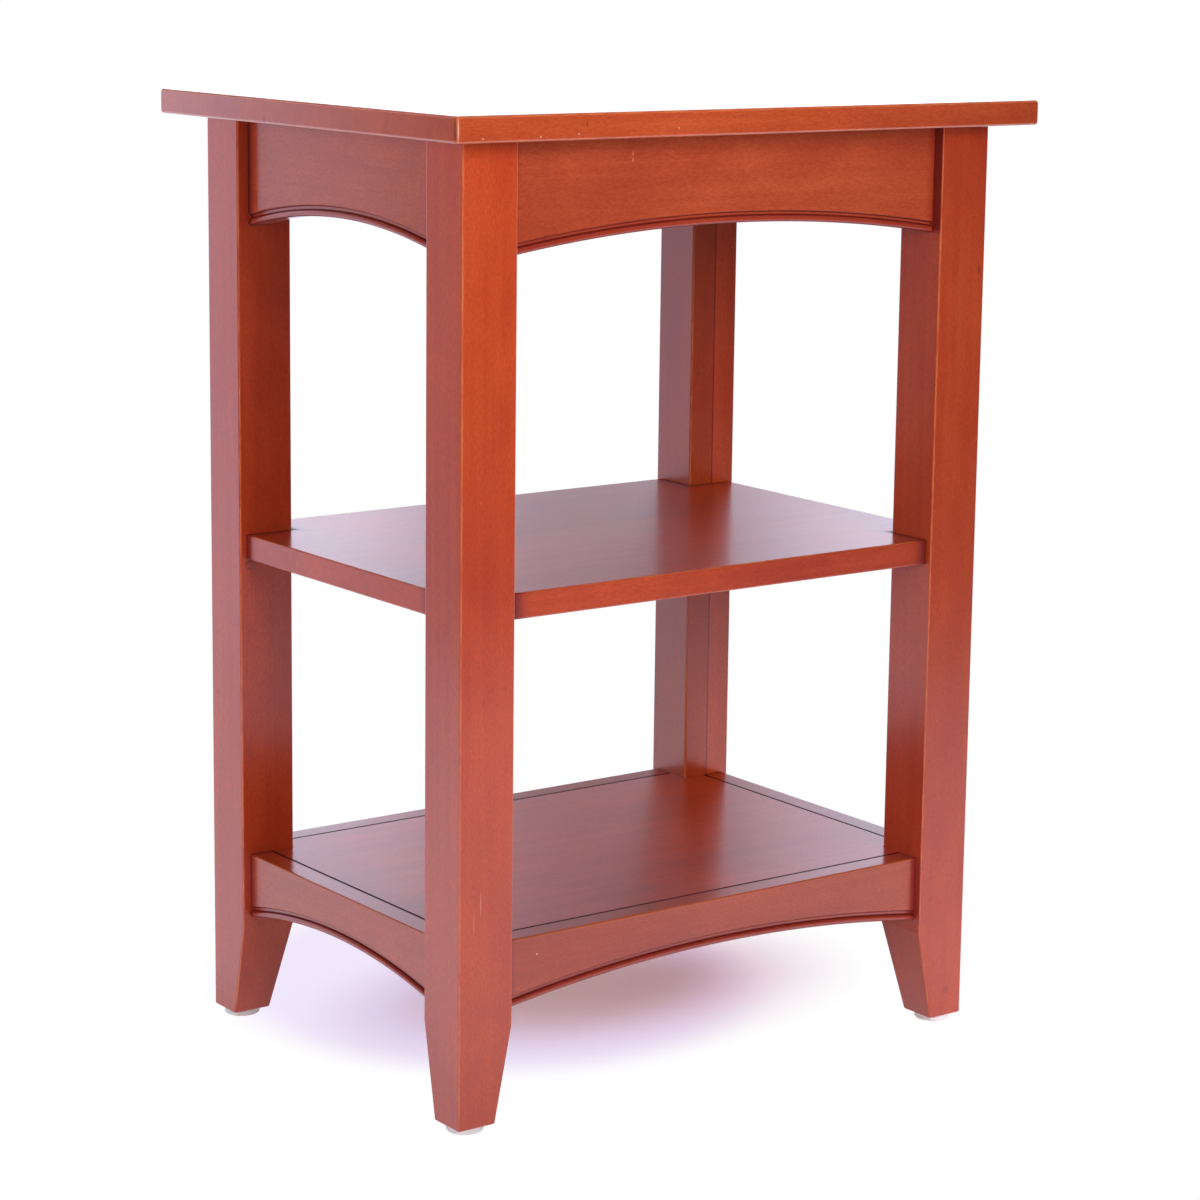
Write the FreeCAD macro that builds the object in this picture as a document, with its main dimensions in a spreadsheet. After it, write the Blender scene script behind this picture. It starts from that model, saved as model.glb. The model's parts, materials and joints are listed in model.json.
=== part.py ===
import FreeCAD, Part
import enum
import math
import os
import Sketcher

# End table with a middle shelf and a framed bottom shelf.
#
# Millimetres. X runs along the long side, Y from front to back and Z up. The origin is on the
# floor under the centre of the table. Four square legs, tapered below the bottom rails on their
# two inner faces, stand at the corners of a frame. Arched aprons join them at the top and arched
# rails near the floor, each with a bead along its lower edge. Every size that can be set by
# itself is a cell of the sheet below, and each piece is bound to those cells.

SIZES = {
    # tabletop
    "top_length": 500.0,
    "top_depth": 386.0,
    "top_thickness": 17.5,
    "top_edge_round": 2.2,
    "top_corner_round": 3.0,
    "end_overhang": 23.0,
    "side_overhang": 27.5,
    # legs
    "leg_side": 43.5,
    "leg_length": 666.0,
    "leg_edge_round": 1.6,
    "foot_side": 30.0,
    "foot_edge_bevel": 0.8,
    "taper_length": 68.0,
    # arched boards between the legs
    "apron_setback": 8.5,
    "apron_height": 77.0,
    "apron_thickness": 18.0,
    "rail_setback": 6.5,
    "rail_top": 130.5,
    "rail_height": 48.5,
    "rail_thickness": 17.5,
    "arch_rise": 14.5,
    "board_edge_round": 0.8,
    "arch_edge_bevel": 0.7,
    # bead and the groove above it
    "bead_width": 4.6,
    "bead_round": 2.1,
    "groove_width": 3.0,
    "groove_depth": 2.3,
    # middle shelf
    "shelf_top": 370.5,
    "shelf_thickness": 18.0,
    "shelf_setback": 5.0,
    "shelf_edge_round": 1.2,
    "notch_clearance": 0.3,
    # bottom shelf panel and the cleats that carry it
    "panel_thickness": 12.0,
    "panel_gap": 0.8,
    "panel_edge_round": 0.5,
    "cleat_side": 15.0,
    "cleat_end_gap": 2.0,
    "cleat_edge_bevel": 1.0,
    # dowels
    "dowel_diameter": 8.0,
    "dowel_length": 35.0,
    "dowel_bevel": 1.0,
    "dowel_clearance": 0.1,
    "hole_relief": 1.0,
    "flute_diameter": 0.9,
    "apron_dowel_inset": 20.0,
    "apron_dowel_spacing": 32.0,
    "rail_dowel_inset": 11.0,
    "rail_dowel_spacing": 21.0,
    "shelf_dowel_diameter": 6.0,
    "shelf_dowel_length": 30.0,
    # pins under the middle shelf
    "pin_diameter": 4.2,
    "pin_length": 15.0,
    "pin_proud": 1.0,
    "pin_inset": 7.0,
    "pin_drop": 2.4,
    "pin_end_round": 0.4,
    # corner blocks
    "block_width": 20.0,
    "block_height": 25.0,
    "block_leg_gap": 2.0,
    "block_screw_land": 7.0,
    "block_screw_bite": 11.0,
    "top_screw_bite": 10.0,
    # screws
    "screw_diameter": 3.6,
    "screw_head_diameter": 7.4,
    "screw_head_height": 2.4,
    "screw_head_round": 1.0,
    "screw_point": 3.0,
    "screw_clearance": 0.1,
    "recess_length": 3.6,
    "recess_width": 0.9,
    "recess_depth": 1.3,
    "cleat_screw_reach": 70.0,
    "cleat_screw_bite": 9.0,
    "panel_screw_reach": 40.0,
    "panel_screw_bite": 7.0,
    # nail-on glides under the feet
    "glide_diameter": 26.0,
    "glide_height": 5.0,
    "glide_edge_round": 1.8,
    "nail_diameter": 2.4,
    "nail_length": 18.0,
    "nail_head_diameter": 8.0,
    "nail_head_height": 1.2,
    "nail_head_depth": 2.6,
}

DIAGONAL = math.sqrt(2)
ROUND_TO_WALL_RATIO = 0.92  # the most that a round takes of its wall
FLUTES = 8
NO_TURN = FreeCAD.Rotation()
SHEET = "Sizes"


class Point(enum.IntEnum):
    """The numbers of a line's or an arc's own points in a sketch."""

    START = 1
    END = 2
    CENTRE = 3


class Axis(enum.IntEnum):
    """The numbers of a sketch's two axes. The across axis starts at the sketch's origin."""

    ACROSS = -1
    UP = -2


class Size:
    """A length that keeps its number and the sheet expression that gives it."""

    def __init__(self, number, words):
        self.number = float(number)
        self.words = words

    def with_other(self, other, sign, number):
        return Size(number, f"({self.words} {sign} {other.words})")

    def __add__(self, other):
        other = as_size(other)
        return self.with_other(other, "+", self.number + other.number)

    def __sub__(self, other):
        other = as_size(other)
        return self.with_other(other, "-", self.number - other.number)

    def __mul__(self, other):
        other = as_size(other)
        return self.with_other(other, "*", self.number * other.number)

    def __truediv__(self, other):
        other = as_size(other)
        return self.with_other(other, "/", self.number / other.number)

    def __neg__(self):
        return Size(-self.number, f"(0 - {self.words})")


def as_size(value):
    return value if isinstance(value, Size) else Size(value, f"{value:.9g}")


def smallest(*sizes):
    return Size(min(size.number for size in sizes), f"min({'; '.join(size.words for size in sizes)})")


ZERO = as_size(0.0)

# ---------------------------------------------------------------- document and sheet

doc = FreeCAD.newDocument("end_table")
sheet = doc.addObject("Spreadsheet::Sheet", SHEET)
for row, (alias, value) in enumerate(SIZES.items(), 1):
    sheet.set(f"A{row}", alias)
    sheet.set(f"B{row}", str(value))
    sheet.setAlias(f"B{row}", alias)
doc.recompute()


def size(alias):
    return Size(SIZES[alias], f"{SHEET}.{alias}")


def bind(thing, prop, length):
    thing.setExpression(prop, length.words)


# ---------------------------------------------------------------- sketches

def origin_feature(body, role):
    return next(feature for feature in body.Origin.OriginFeatures if feature.Role == role)


def new_body(label):
    body = doc.addObject("PartDesign::Body", label)
    body.Label = label
    return body


def new_sketch(body, role, name, offset=None):
    """A sketch on one of the body's own planes, moved along its normal by offset."""
    sketch = body.newObject("Sketcher::SketchObject", f"{body.Label}_{name}_sketch")
    sketch.AttachmentSupport = (origin_feature(body, role), [""])
    sketch.MapMode = "FlatFace"
    if offset is not None:
        bind(sketch, "AttachmentOffset.Base.z", offset)
    return sketch


def hold(sketch, geometry, end, across, up):
    """Holds one point of the sketch at its distances from the sketch's origin."""
    for kind, axis, length in (("DistanceX", Axis.UP, across), ("DistanceY", Axis.ACROSS, up)):
        if length is None:
            continue
        if length.number == 0:
            sketch.addConstraint(Sketcher.Constraint("PointOnObject", geometry, end, axis))
            continue
        points = [Axis.ACROSS, Point.START, geometry, end]
        if length.number < 0:
            points = [geometry, end, Axis.ACROSS, Point.START]
            length = -length
        number = sketch.addConstraint(Sketcher.Constraint(kind, *points, length.number))
        bind(sketch, f"Constraints[{number}]", length)


def at(across, up):
    return FreeCAD.Vector(across.number, up.number, 0)


def draw_polygon(sketch, corners):
    first = sketch.GeometryCount
    count = len(corners)
    for i in range(count):
        sketch.addGeometry(Part.LineSegment(at(*corners[i]), at(*corners[(i + 1) % count])), False)
    for i in range(count):
        joint = (first + i, Point.END, first + (i + 1) % count, Point.START)
        sketch.addConstraint(Sketcher.Constraint("Coincident", *joint))
    for i in range(count):
        hold(sketch, first + i, Point.START, *corners[i])


def draw_rectangle(sketch, left, right, low, high):
    draw_polygon(sketch, [(left, low), (right, low), (right, high), (left, high)])


def draw_circle(sketch, across, up, diameter):
    circle = Part.Circle(at(across, up), FreeCAD.Vector(0, 0, 1), diameter.number / 2)
    geometry = sketch.addGeometry(circle, False)
    hold(sketch, geometry, Point.CENTRE, across, up)
    number = sketch.addConstraint(Sketcher.Constraint("Diameter", geometry, diameter.number))
    bind(sketch, f"Constraints[{number}]", diameter)


def draw_arch(sketch, half_span, centre_up, radius):
    """An arc over the span, with its centre below the board. Starts right, ends left."""
    circle = Part.Circle(at(ZERO, centre_up), FreeCAD.Vector(0, 0, 1), radius.number)
    start = math.acos(half_span.number / radius.number)
    geometry = sketch.addGeometry(Part.ArcOfCircle(circle, start, math.pi - start), False)
    number = sketch.addConstraint(Sketcher.Constraint("Radius", geometry, radius.number))
    bind(sketch, f"Constraints[{number}]", radius)
    hold(sketch, geometry, Point.CENTRE, ZERO, centre_up)
    hold(sketch, geometry, Point.START, half_span, None)
    hold(sketch, geometry, Point.END, -half_span, None)
    return geometry


# ---------------------------------------------------------------- features

def pad(body, sketch, length, reverse=False):
    feature = body.newObject("PartDesign::Pad", sketch.Label.replace("sketch", "pad"))
    feature.Profile = sketch
    feature.Reversed = reverse
    bind(feature, "Length", length)
    doc.recompute()


def pocket(body, sketch, depth, reverse=False, both_ways=False):
    """Cuts depth deep, or right through where depth is None, and checks that it has cut."""
    before = body.Shape.Volume
    feature = body.newObject("PartDesign::Pocket", sketch.Label.replace("sketch", "pocket"))
    feature.Profile = sketch
    feature.Reversed = reverse
    if depth is None:
        feature.Type = "ThroughAll"
    else:
        bind(feature, "Length", depth)
    if both_ways:
        feature.SideType = "Symmetric"
    doc.recompute()
    if not body.Shape.Volume < before:
        raise ValueError(f"{feature.Label} cuts nothing")
    return feature


def edges_where(shape, test):
    return [f"Edge{i}" for i, edge in enumerate(shape.Edges, 1) if test(edge)]


def dress(body, kind, prop, name, amount, test):
    """Rounds (PartDesign::Fillet) or bevels (PartDesign::Chamfer) the edges that pass the test."""
    base = body.Tip
    names = edges_where(base.Shape, test)
    if not names:
        raise ValueError(f"{body.Label} has no edge for {name}")
    feature = body.newObject(kind, f"{body.Label}_{name}")
    feature.Base = (base, names)
    bind(feature, prop, amount)
    doc.recompute()


def fillet(body, name, radius, test):
    dress(body, "PartDesign::Fillet", "Radius", name, radius, test)


def chamfer(body, name, width, test):
    dress(body, "PartDesign::Chamfer", "Size", name, width, test)


def mirror_in_body(body, feature, role):
    mirror = body.newObject("PartDesign::Mirrored", f"{feature.Label}_mirrored")
    mirror.Originals = [feature]
    mirror.MirrorPlane = (origin_feature(body, role), [""])
    body.Tip = mirror
    doc.recompute()


def place(thing, x, y, z, turn=NO_TURN):
    thing.Placement = FreeCAD.Placement(FreeCAD.Vector(), turn)
    for axis, length in zip("xyz", (x, y, z)):
        bind(thing, f"Placement.Base.{axis}", as_size(length))
    doc.recompute()


# edge tests

def is_near(value, target):
    return abs(value - target) < 0.01


def is_circle(edge, radius):
    return isinstance(edge.Curve, Part.Circle) and is_near(edge.Curve.Radius, radius)


def is_flat(edge):
    return is_near(edge.BoundBox.ZMin, edge.BoundBox.ZMax)


def level(edge, height):
    return is_flat(edge) and is_near(edge.BoundBox.ZMin, height)


def lies_at(edge, axis, value):
    low, high = {"x": (edge.BoundBox.XMin, edge.BoundBox.XMax),
                 "y": (edge.BoundBox.YMin, edge.BoundBox.YMax)}[axis]
    return is_near(low, value) and is_near(high, value)


# ---------------------------------------------------------------- places that several pieces share

half_length = size("top_length") / 2 - size("end_overhang")
half_depth = size("top_depth") / 2 - size("side_overhang")
leg_side = size("leg_side")
inner_x = half_length - leg_side
inner_y = half_depth - leg_side
frame_top = size("glide_height") + size("leg_length")
shelf_underside = size("shelf_top") - size("shelf_thickness")
panel_underside = size("rail_top") - size("panel_thickness")
dowel_hole = size("dowel_diameter") + size("dowel_clearance") * 2
dowel_hole_depth = size("dowel_length") / 2 + size("hole_relief")
shelf_dowel_hole = size("shelf_dowel_diameter") + size("dowel_clearance") * 2
shelf_dowel_hole_depth = size("shelf_dowel_length") / 2 + size("hole_relief")
pin_hole = size("pin_diameter") + size("dowel_clearance") * 2
screw_hole = size("screw_diameter") + size("screw_clearance") * 2
head_hole = size("screw_head_diameter") + size("screw_clearance") * 2
countersink = (size("screw_head_diameter") - size("screw_diameter")) / 2
leg_inset = leg_side - size("apron_setback") - size("apron_thickness")
block_inner = leg_inset * 2 + size("block_leg_gap")
block_outer = block_inner + size("block_width") * DIAGONAL
block_middle = (block_inner + block_outer) / 2
block_corner_x = half_length - size("apron_setback") - size("apron_thickness")
block_corner_y = half_depth - size("apron_setback") - size("apron_thickness")
top_screw_x = block_corner_x - block_middle / 2
top_screw_y = block_corner_y - block_middle / 2
nail_hole = size("nail_diameter") + size("screw_clearance") * 2
foot_centre = size("foot_side") / 2

# Each kind of board: how far its face lies behind the legs' faces, its thickness and height, the
# height of its top edge above the floor, how far its two dowels lie below that edge, and how deep
# the screws in its back go.
APRON = {
    "setback": size("apron_setback"),
    "thickness": size("apron_thickness"),
    "height": size("apron_height"),
    "top": frame_top,
    "dowels": (size("apron_dowel_inset"), size("apron_dowel_inset") + size("apron_dowel_spacing")),
    "bite": size("block_screw_bite"),
}
RAIL = {
    "setback": size("rail_setback"),
    "thickness": size("rail_thickness"),
    "height": size("rail_height"),
    "top": size("rail_top"),
    "dowels": (size("rail_dowel_inset"), size("rail_dowel_inset") + size("rail_dowel_spacing")),
    "bite": size("cleat_screw_bite"),
}
BOARDS = (APRON, RAIL)


# ---------------------------------------------------------------- legs

def runs_along_leg(edge):
    return edge.BoundBox.ZLength > size("taper_length").number / 2


def make_leg():
    """The front left leg. Its own origin is the outer corner, at the bottom of the wood."""
    body = new_body("leg_front_left")
    blank = new_sketch(body, "XY_Plane", "blank")
    draw_rectangle(blank, ZERO, leg_side, ZERO, leg_side)
    pad(body, blank, size("leg_length"))
    for role in ("XZ_Plane", "YZ_Plane"):
        taper = new_sketch(body, role, f"taper_{role[:2].lower()}")
        wedge = [(size("foot_side"), ZERO), (leg_side, ZERO), (leg_side, size("taper_length"))]
        draw_polygon(taper, wedge)
        pocket(body, taper, None, both_ways=True)
    fillet(body, "edges", size("leg_edge_round"), runs_along_leg)
    chamfer(body, "foot_edge", size("foot_edge_bevel"), lambda edge: level(edge, 0))

    sockets = {"x": [], "y": []}
    for board in BOARDS:
        along = board["setback"] + board["thickness"] / 2
        for below in board["dowels"]:
            socket = (along, board["top"] - size("glide_height") - below)
            sockets["x"].append(socket)
            sockets["y"].append(socket)
    bore_leg(body, "dowels", sockets, dowel_hole, dowel_hole_depth)
    shelf_middle = shelf_underside + size("shelf_thickness") / 2 - size("glide_height")
    bore_leg(body, "shelf_dowel", {"x": [(leg_side / 2, shelf_middle)]},
             shelf_dowel_hole, shelf_dowel_hole_depth)
    pin_up = shelf_underside - size("pin_drop") - size("pin_diameter") / 2 - size("glide_height")
    pin_depth = size("pin_length") - size("pin_proud") + size("hole_relief")
    bore_leg(body, "shelf_pin", {"y": [(size("pin_inset"), pin_up)]}, pin_hole, pin_depth)

    nail = new_sketch(body, "XY_Plane", "nail")
    draw_circle(nail, foot_centre, foot_centre, nail_hole)
    pocket(body, nail, size("nail_length") + size("hole_relief"), reverse=True)
    place(body, -half_length, -half_depth, size("glide_height"))
    return body


def bore_leg(body, name, sockets, diameter, depth):
    """Blind holes into the leg's two inner faces, at their places along the face and up."""
    for axis, places in sockets.items():
        role = {"x": "YZ_Plane", "y": "XZ_Plane"}[axis]
        offset = {"x": leg_side, "y": -leg_side}[axis]
        sketch = new_sketch(body, role, f"{name}_{axis}", offset)
        for across, up in places:
            draw_circle(sketch, across, up, diameter)
        pocket(body, sketch, depth, reverse=axis == "y")


# ---------------------------------------------------------------- aprons and rails

def make_board(label, kind, half_span, screw_places):
    """An arched board. Its own origin is the middle of its top front edge, its face looks along -Y.

    screw_places are the pilot holes in its back, as places across and up. The board starts longer,
    and its waste comes off both ends after its edges are rounded, so the bead ends square.
    """
    body = new_body(label)
    thickness = kind["thickness"]
    height = kind["height"]
    rise = size("arch_rise")
    radius = (half_span * half_span + rise * rise) / (rise * 2)
    centre_up = rise - height - radius

    waste = thickness / 2
    half_blank = half_span + waste
    blank = new_sketch(body, "XZ_Plane", "blank")
    arch = draw_arch(blank, half_blank, centre_up, radius)
    right_end, left_end = blank.Geometry[arch].StartPoint, blank.Geometry[arch].EndPoint
    corners = [right_end, at(half_blank, ZERO), at(-half_blank, ZERO), left_end]
    for start, end in zip(corners, corners[1:]):
        blank.addGeometry(Part.LineSegment(start, end), False)
    joints = [(arch, Point.START, 1, Point.START), (1, Point.END, 2, Point.START),
              (2, Point.END, 3, Point.START), (3, Point.END, arch, Point.END)]
    for joint in joints:
        blank.addConstraint(Sketcher.Constraint("Coincident", *joint))
    hold(blank, 2, Point.START, half_blank, ZERO)
    hold(blank, 2, Point.END, -half_blank, ZERO)
    pad(body, blank, thickness, reverse=True)

    bead_radius = radius + size("bead_width")
    face_radius = bead_radius + size("groove_width")
    groove = new_sketch(body, "XZ_Plane", "groove")
    for band_radius in (bead_radius, face_radius):
        draw_arch(groove, half_blank, centre_up, band_radius)
    low, high = groove.Geometry[0], groove.Geometry[1]
    right = groove.addGeometry(Part.LineSegment(low.StartPoint, high.StartPoint), False)
    left = groove.addGeometry(Part.LineSegment(low.EndPoint, high.EndPoint), False)
    for line, end in ((right, Point.START), (left, Point.END)):
        groove.addConstraint(Sketcher.Constraint("Coincident", line, Point.START, 0, end))
        groove.addConstraint(Sketcher.Constraint("Coincident", line, Point.END, 1, end))
    pocket(body, groove, size("groove_depth"))

    bead_round = smallest(size("bead_round"), size("bead_width") * ROUND_TO_WALL_RATIO / 2,
                          size("groove_depth") * ROUND_TO_WALL_RATIO)
    bead_radii = (radius.number, bead_radius.number)
    fillet(body, "bead", bead_round, lambda edge: lies_at(edge, "y", 0) and (
        is_circle(edge, bead_radii[0]) or is_circle(edge, bead_radii[1])))
    chamfer(body, "arch_edges", size("arch_edge_bevel"), lambda edge: (
        (lies_at(edge, "y", 0) and is_circle(edge, face_radius.number))
        or (lies_at(edge, "y", thickness.number) and is_circle(edge, radius.number))))
    fillet(body, "top_edge", size("board_edge_round"),
           lambda edge: level(edge, 0) and lies_at(edge, "y", 0))

    ends = new_sketch(body, "XZ_Plane", "ends")
    draw_rectangle(ends, half_span, half_blank + waste, -height - waste, waste)
    draw_rectangle(ends, -half_blank - waste, -half_span, -height - waste, waste)
    pocket(body, ends, None, both_ways=True)

    dowels = new_sketch(body, "YZ_Plane", "dowels", half_span)
    for below in kind["dowels"]:
        draw_circle(dowels, thickness / 2, -below, dowel_hole)
    mirror_in_body(body, pocket(body, dowels, dowel_hole_depth), "YZ_Plane")

    pilots = new_sketch(body, "XZ_Plane", "pilots", -thickness)
    for across, up in screw_places:
        draw_circle(pilots, across, up, screw_hole)
    pocket(body, pilots, kind["bite"] + size("hole_relief"), reverse=True)
    return body


def along_cleat(is_long):
    """Places along a cleat of the screws into the rail."""
    reach = size("cleat_screw_reach")
    return [-reach, ZERO, reach] if is_long else [-reach, reach]


def make_boards():
    sides = {"front": (inner_x, block_corner_x), "left": (inner_y, block_corner_y)}
    made = {}
    for side, (half_span, block_corner) in sides.items():
        block_up = -size("block_height") / 2
        block_across = block_corner - block_middle
        apron_screws = [(-block_across, block_up), (block_across, block_up)]
        made[f"apron_{side}"] = make_board(f"apron_{side}", APRON, half_span, apron_screws)
        cleat_up = -size("panel_thickness") - size("cleat_side") / 2
        rail_screws = [(across, cleat_up) for across in along_cleat(side == "front")]
        made[f"rail_{side}"] = make_board(f"rail_{side}", RAIL, half_span, rail_screws)
    for name, kind in (("apron", APRON), ("rail", RAIL)):
        place(made[f"{name}_front"], ZERO, kind["setback"] - half_depth, kind["top"])
        quarter = FreeCAD.Rotation(FreeCAD.Vector(0, 0, 1), -90)
        place(made[f"{name}_left"], kind["setback"] - half_length, ZERO, kind["top"], quarter)
    return made


# ---------------------------------------------------------------- top and shelves

def make_top():
    body = new_body("top_board")
    outline = new_sketch(body, "XY_Plane", "outline")
    half_x = size("top_length") / 2
    half_y = size("top_depth") / 2
    draw_rectangle(outline, -half_x, half_x, -half_y, half_y)
    pad(body, outline, size("top_thickness"))
    fillet(body, "corners", size("top_corner_round"), lambda edge: not is_flat(edge))
    fillet(body, "edges", size("top_edge_round"), is_flat)
    screws = new_sketch(body, "XY_Plane", "screws")
    for side_x in (-1, 1):
        for side_y in (-1, 1):
            draw_circle(screws, top_screw_x * side_x, top_screw_y * side_y, screw_hole)
    pocket(body, screws, size("top_screw_bite") + size("hole_relief"), reverse=True)
    place(body, ZERO, ZERO, frame_top)
    return body


def draw_notched(sketch, half_x, half_y, notch_x, notch_y):
    """A rectangle about the origin whose four corners are notched."""
    corners = [
        (-notch_x, -half_y), (notch_x, -half_y), (notch_x, -notch_y), (half_x, -notch_y),
        (half_x, notch_y), (notch_x, notch_y), (notch_x, half_y), (-notch_x, half_y),
        (-notch_x, notch_y), (-half_x, notch_y), (-half_x, -notch_y), (-notch_x, -notch_y),
    ]
    draw_polygon(sketch, corners)


def make_shelf_board(label, half_x, half_y, thickness, underside, edge_round):
    """A board notched round the legs, with its outer edges eased."""
    body = new_body(label)
    outline = new_sketch(body, "XY_Plane", "outline")
    notch_x = inner_x - size("notch_clearance")
    notch_y = inner_y - size("notch_clearance")
    draw_notched(outline, half_x, half_y, notch_x, notch_y)
    pad(body, outline, thickness)

    def is_outer(edge):
        side = any(lies_at(edge, "x", sign * half_x.number) or lies_at(edge, "y", sign * half_y.number)
                   for sign in (-1, 1))
        return side and is_flat(edge)
    fillet(body, "edges", edge_round, is_outer)
    place(body, ZERO, ZERO, underside)
    return body


def make_middle_shelf():
    half_x = half_length - size("shelf_setback")
    half_y = half_depth - size("shelf_setback")
    body = make_shelf_board("middle_shelf", half_x, half_y, size("shelf_thickness"), shelf_underside,
                            size("shelf_edge_round"))
    dowels = new_sketch(body, "YZ_Plane", "dowels", inner_x - size("notch_clearance"))
    for side in (-1, 1):
        along = (half_depth - leg_side / 2) * side
        draw_circle(dowels, along, size("shelf_thickness") / 2, shelf_dowel_hole)
    mirror_in_body(body, pocket(body, dowels, shelf_dowel_hole_depth), "YZ_Plane")
    return body


def panel_screw_places():
    """Places of the screws up into the bottom panel: two through each cleat."""
    reach = size("panel_screw_reach")
    across_y = half_depth - size("rail_setback") - size("rail_thickness") - size("cleat_side") / 2
    across_x = half_length - size("rail_setback") - size("rail_thickness") - size("cleat_side") / 2
    places = [(reach * a, across_y * b) for a in (-1, 1) for b in (-1, 1)]
    return places + [(across_x * a, reach * b) for a in (-1, 1) for b in (-1, 1)]


def make_bottom_panel():
    edge = size("rail_setback") + size("rail_thickness") + size("panel_gap")
    body = make_shelf_board("bottom_panel", half_length - edge, half_depth - edge,
                            size("panel_thickness"), panel_underside, size("panel_edge_round"))
    screws = new_sketch(body, "XY_Plane", "screws")
    for x, y in panel_screw_places():
        draw_circle(screws, x, y, screw_hole)
    pocket(body, screws, size("panel_screw_bite") + size("hole_relief"), reverse=True)
    return body


# ---------------------------------------------------------------- cleats and corner blocks

def make_cleat(label, half_span, is_long):
    """A square strip behind a rail. Its own origin is the middle of its top edge on the rail."""
    body = new_body(label)
    side = size("cleat_side")
    section = new_sketch(body, "XY_Plane", "blank")
    half = half_span - size("cleat_end_gap")
    draw_rectangle(section, -half, half, ZERO, side)
    pad(body, section, side, reverse=True)
    low, far = -side.number, side.number
    chamfer(body, "edge", size("cleat_edge_bevel"),
            lambda edge: level(edge, low) and lies_at(edge, "y", far))
    into_rail = new_sketch(body, "XZ_Plane", "rail_screws", -side)
    for across in along_cleat(is_long):
        draw_circle(into_rail, across, -side / 2, screw_hole)
    pocket(body, into_rail, None, reverse=True)
    into_panel = new_sketch(body, "XY_Plane", "panel_screws", -side)
    reach = size("panel_screw_reach")
    for across in (-reach, reach):
        draw_circle(into_panel, across, side / 2, screw_hole)
    pocket(body, into_panel, None, reverse=True)
    radius = screw_hole.number / 2
    chamfer(body, "countersinks", countersink, lambda edge: is_circle(edge, radius) and (
        lies_at(edge, "y", far) or level(edge, low)))
    return body


def make_cleats():
    front = make_cleat("cleat_front", inner_x, True)
    left = make_cleat("cleat_left", inner_y, False)
    behind = size("rail_setback") + size("rail_thickness")
    place(front, ZERO, behind - half_depth, panel_underside)
    quarter = FreeCAD.Rotation(FreeCAD.Vector(0, 0, 1), -90)
    place(left, behind - half_length, ZERO, panel_underside, quarter)
    return {"cleat_front": front, "cleat_left": left}


def make_corner_block():
    """The front left brace. Its own origin is where the two aprons' inner faces meet, at the top."""
    body = new_body("corner_block_front_left")
    outline = new_sketch(body, "XY_Plane", "outline")
    draw_polygon(outline, [
        (block_inner, ZERO), (block_outer, ZERO), (ZERO, block_outer), (ZERO, block_inner),
    ])
    pad(body, outline, size("block_height"), reverse=True)
    land = size("block_screw_land")
    middle_up = -size("block_height") / 2
    for role, offset, outward in (("XZ_Plane", -land, False), ("YZ_Plane", land, True)):
        name = role[:2].lower()
        hole = new_sketch(body, role, f"screw_{name}")
        draw_circle(hole, block_middle, middle_up, screw_hole)
        pocket(body, hole, None, reverse=outward)
        seat = new_sketch(body, role, f"seat_{name}", offset)
        draw_circle(seat, block_middle, middle_up, head_hole)
        pocket(body, seat, None, reverse=outward)
    top_screw = new_sketch(body, "XY_Plane", "top_screw")
    draw_circle(top_screw, block_middle / 2, block_middle / 2, screw_hole)
    pocket(body, top_screw, None)
    radius = screw_hole.number / 2
    low = -size("block_height").number
    chamfer(body, "countersink", countersink,
            lambda edge: is_circle(edge, radius) and level(edge, low))
    place(body, -block_corner_x, -block_corner_y, frame_top)
    return body


# ---------------------------------------------------------------- glides

def make_glide():
    """The front left glide. Its own origin is the centre of its top face."""
    body = new_body("glide_front_left")
    disc = new_sketch(body, "XY_Plane", "disc")
    draw_circle(disc, ZERO, ZERO, size("glide_diameter"))
    pad(body, disc, size("glide_height"), reverse=True)
    low = -size("glide_height").number
    fillet(body, "edge", size("glide_edge_round"), lambda edge: level(edge, low))
    hole = new_sketch(body, "XY_Plane", "nail")
    draw_circle(hole, ZERO, ZERO, nail_hole)
    pocket(body, hole, None)
    seat = new_sketch(body, "XY_Plane", "nail_head", -size("nail_head_depth"))
    draw_circle(seat, ZERO, ZERO, size("nail_head_diameter") + size("screw_clearance") * 2)
    pocket(body, seat, None)
    place(body, foot_centre - half_length, foot_centre - half_depth, size("glide_height"))
    return body


# ---------------------------------------------------------------- fasteners, made once and linked

def make_dowel(name, diameter, length):
    """A fluted dowel along Z, with its middle at the origin."""
    body = new_body(name)
    section = new_sketch(body, "XY_Plane", "section", -length / 2)
    draw_circle(section, ZERO, ZERO, diameter)
    pad(body, section, length)
    chamfer(body, "ends", size("dowel_bevel"), is_flat)
    flute = new_sketch(body, "XY_Plane", "flute", -length / 2)
    draw_circle(flute, diameter / 2, ZERO, size("flute_diameter"))
    cut = pocket(body, flute, length, reverse=True)
    pattern = body.newObject("PartDesign::PolarPattern", f"{name}_flutes")
    pattern.Originals = [cut]
    pattern.Axis = (origin_feature(body, "Z_Axis"), [""])
    pattern.Angle = 360
    pattern.Occurrences = FLUTES
    body.Tip = pattern
    doc.recompute()
    return body


def make_pin():
    """A plain pin along Z. Its own origin is on its axis, where it leaves the leg; +Z is proud."""
    body = new_body("shelf_pin")
    section = new_sketch(body, "XY_Plane", "section", size("pin_proud") - size("pin_length"))
    draw_circle(section, ZERO, ZERO, size("pin_diameter"))
    pad(body, section, size("pin_length"))
    fillet(body, "ends", size("pin_end_round"), is_flat)
    return body


def revolve(body, corners):
    profile = new_sketch(body, "XZ_Plane", "profile")
    draw_polygon(profile, corners)
    turned = body.newObject("PartDesign::Revolution", f"{body.Label}_turned")
    turned.Profile = profile
    turned.ReferenceAxis = (origin_feature(body, "Z_Axis"), [""])
    turned.Angle = 360
    doc.recompute()


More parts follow.
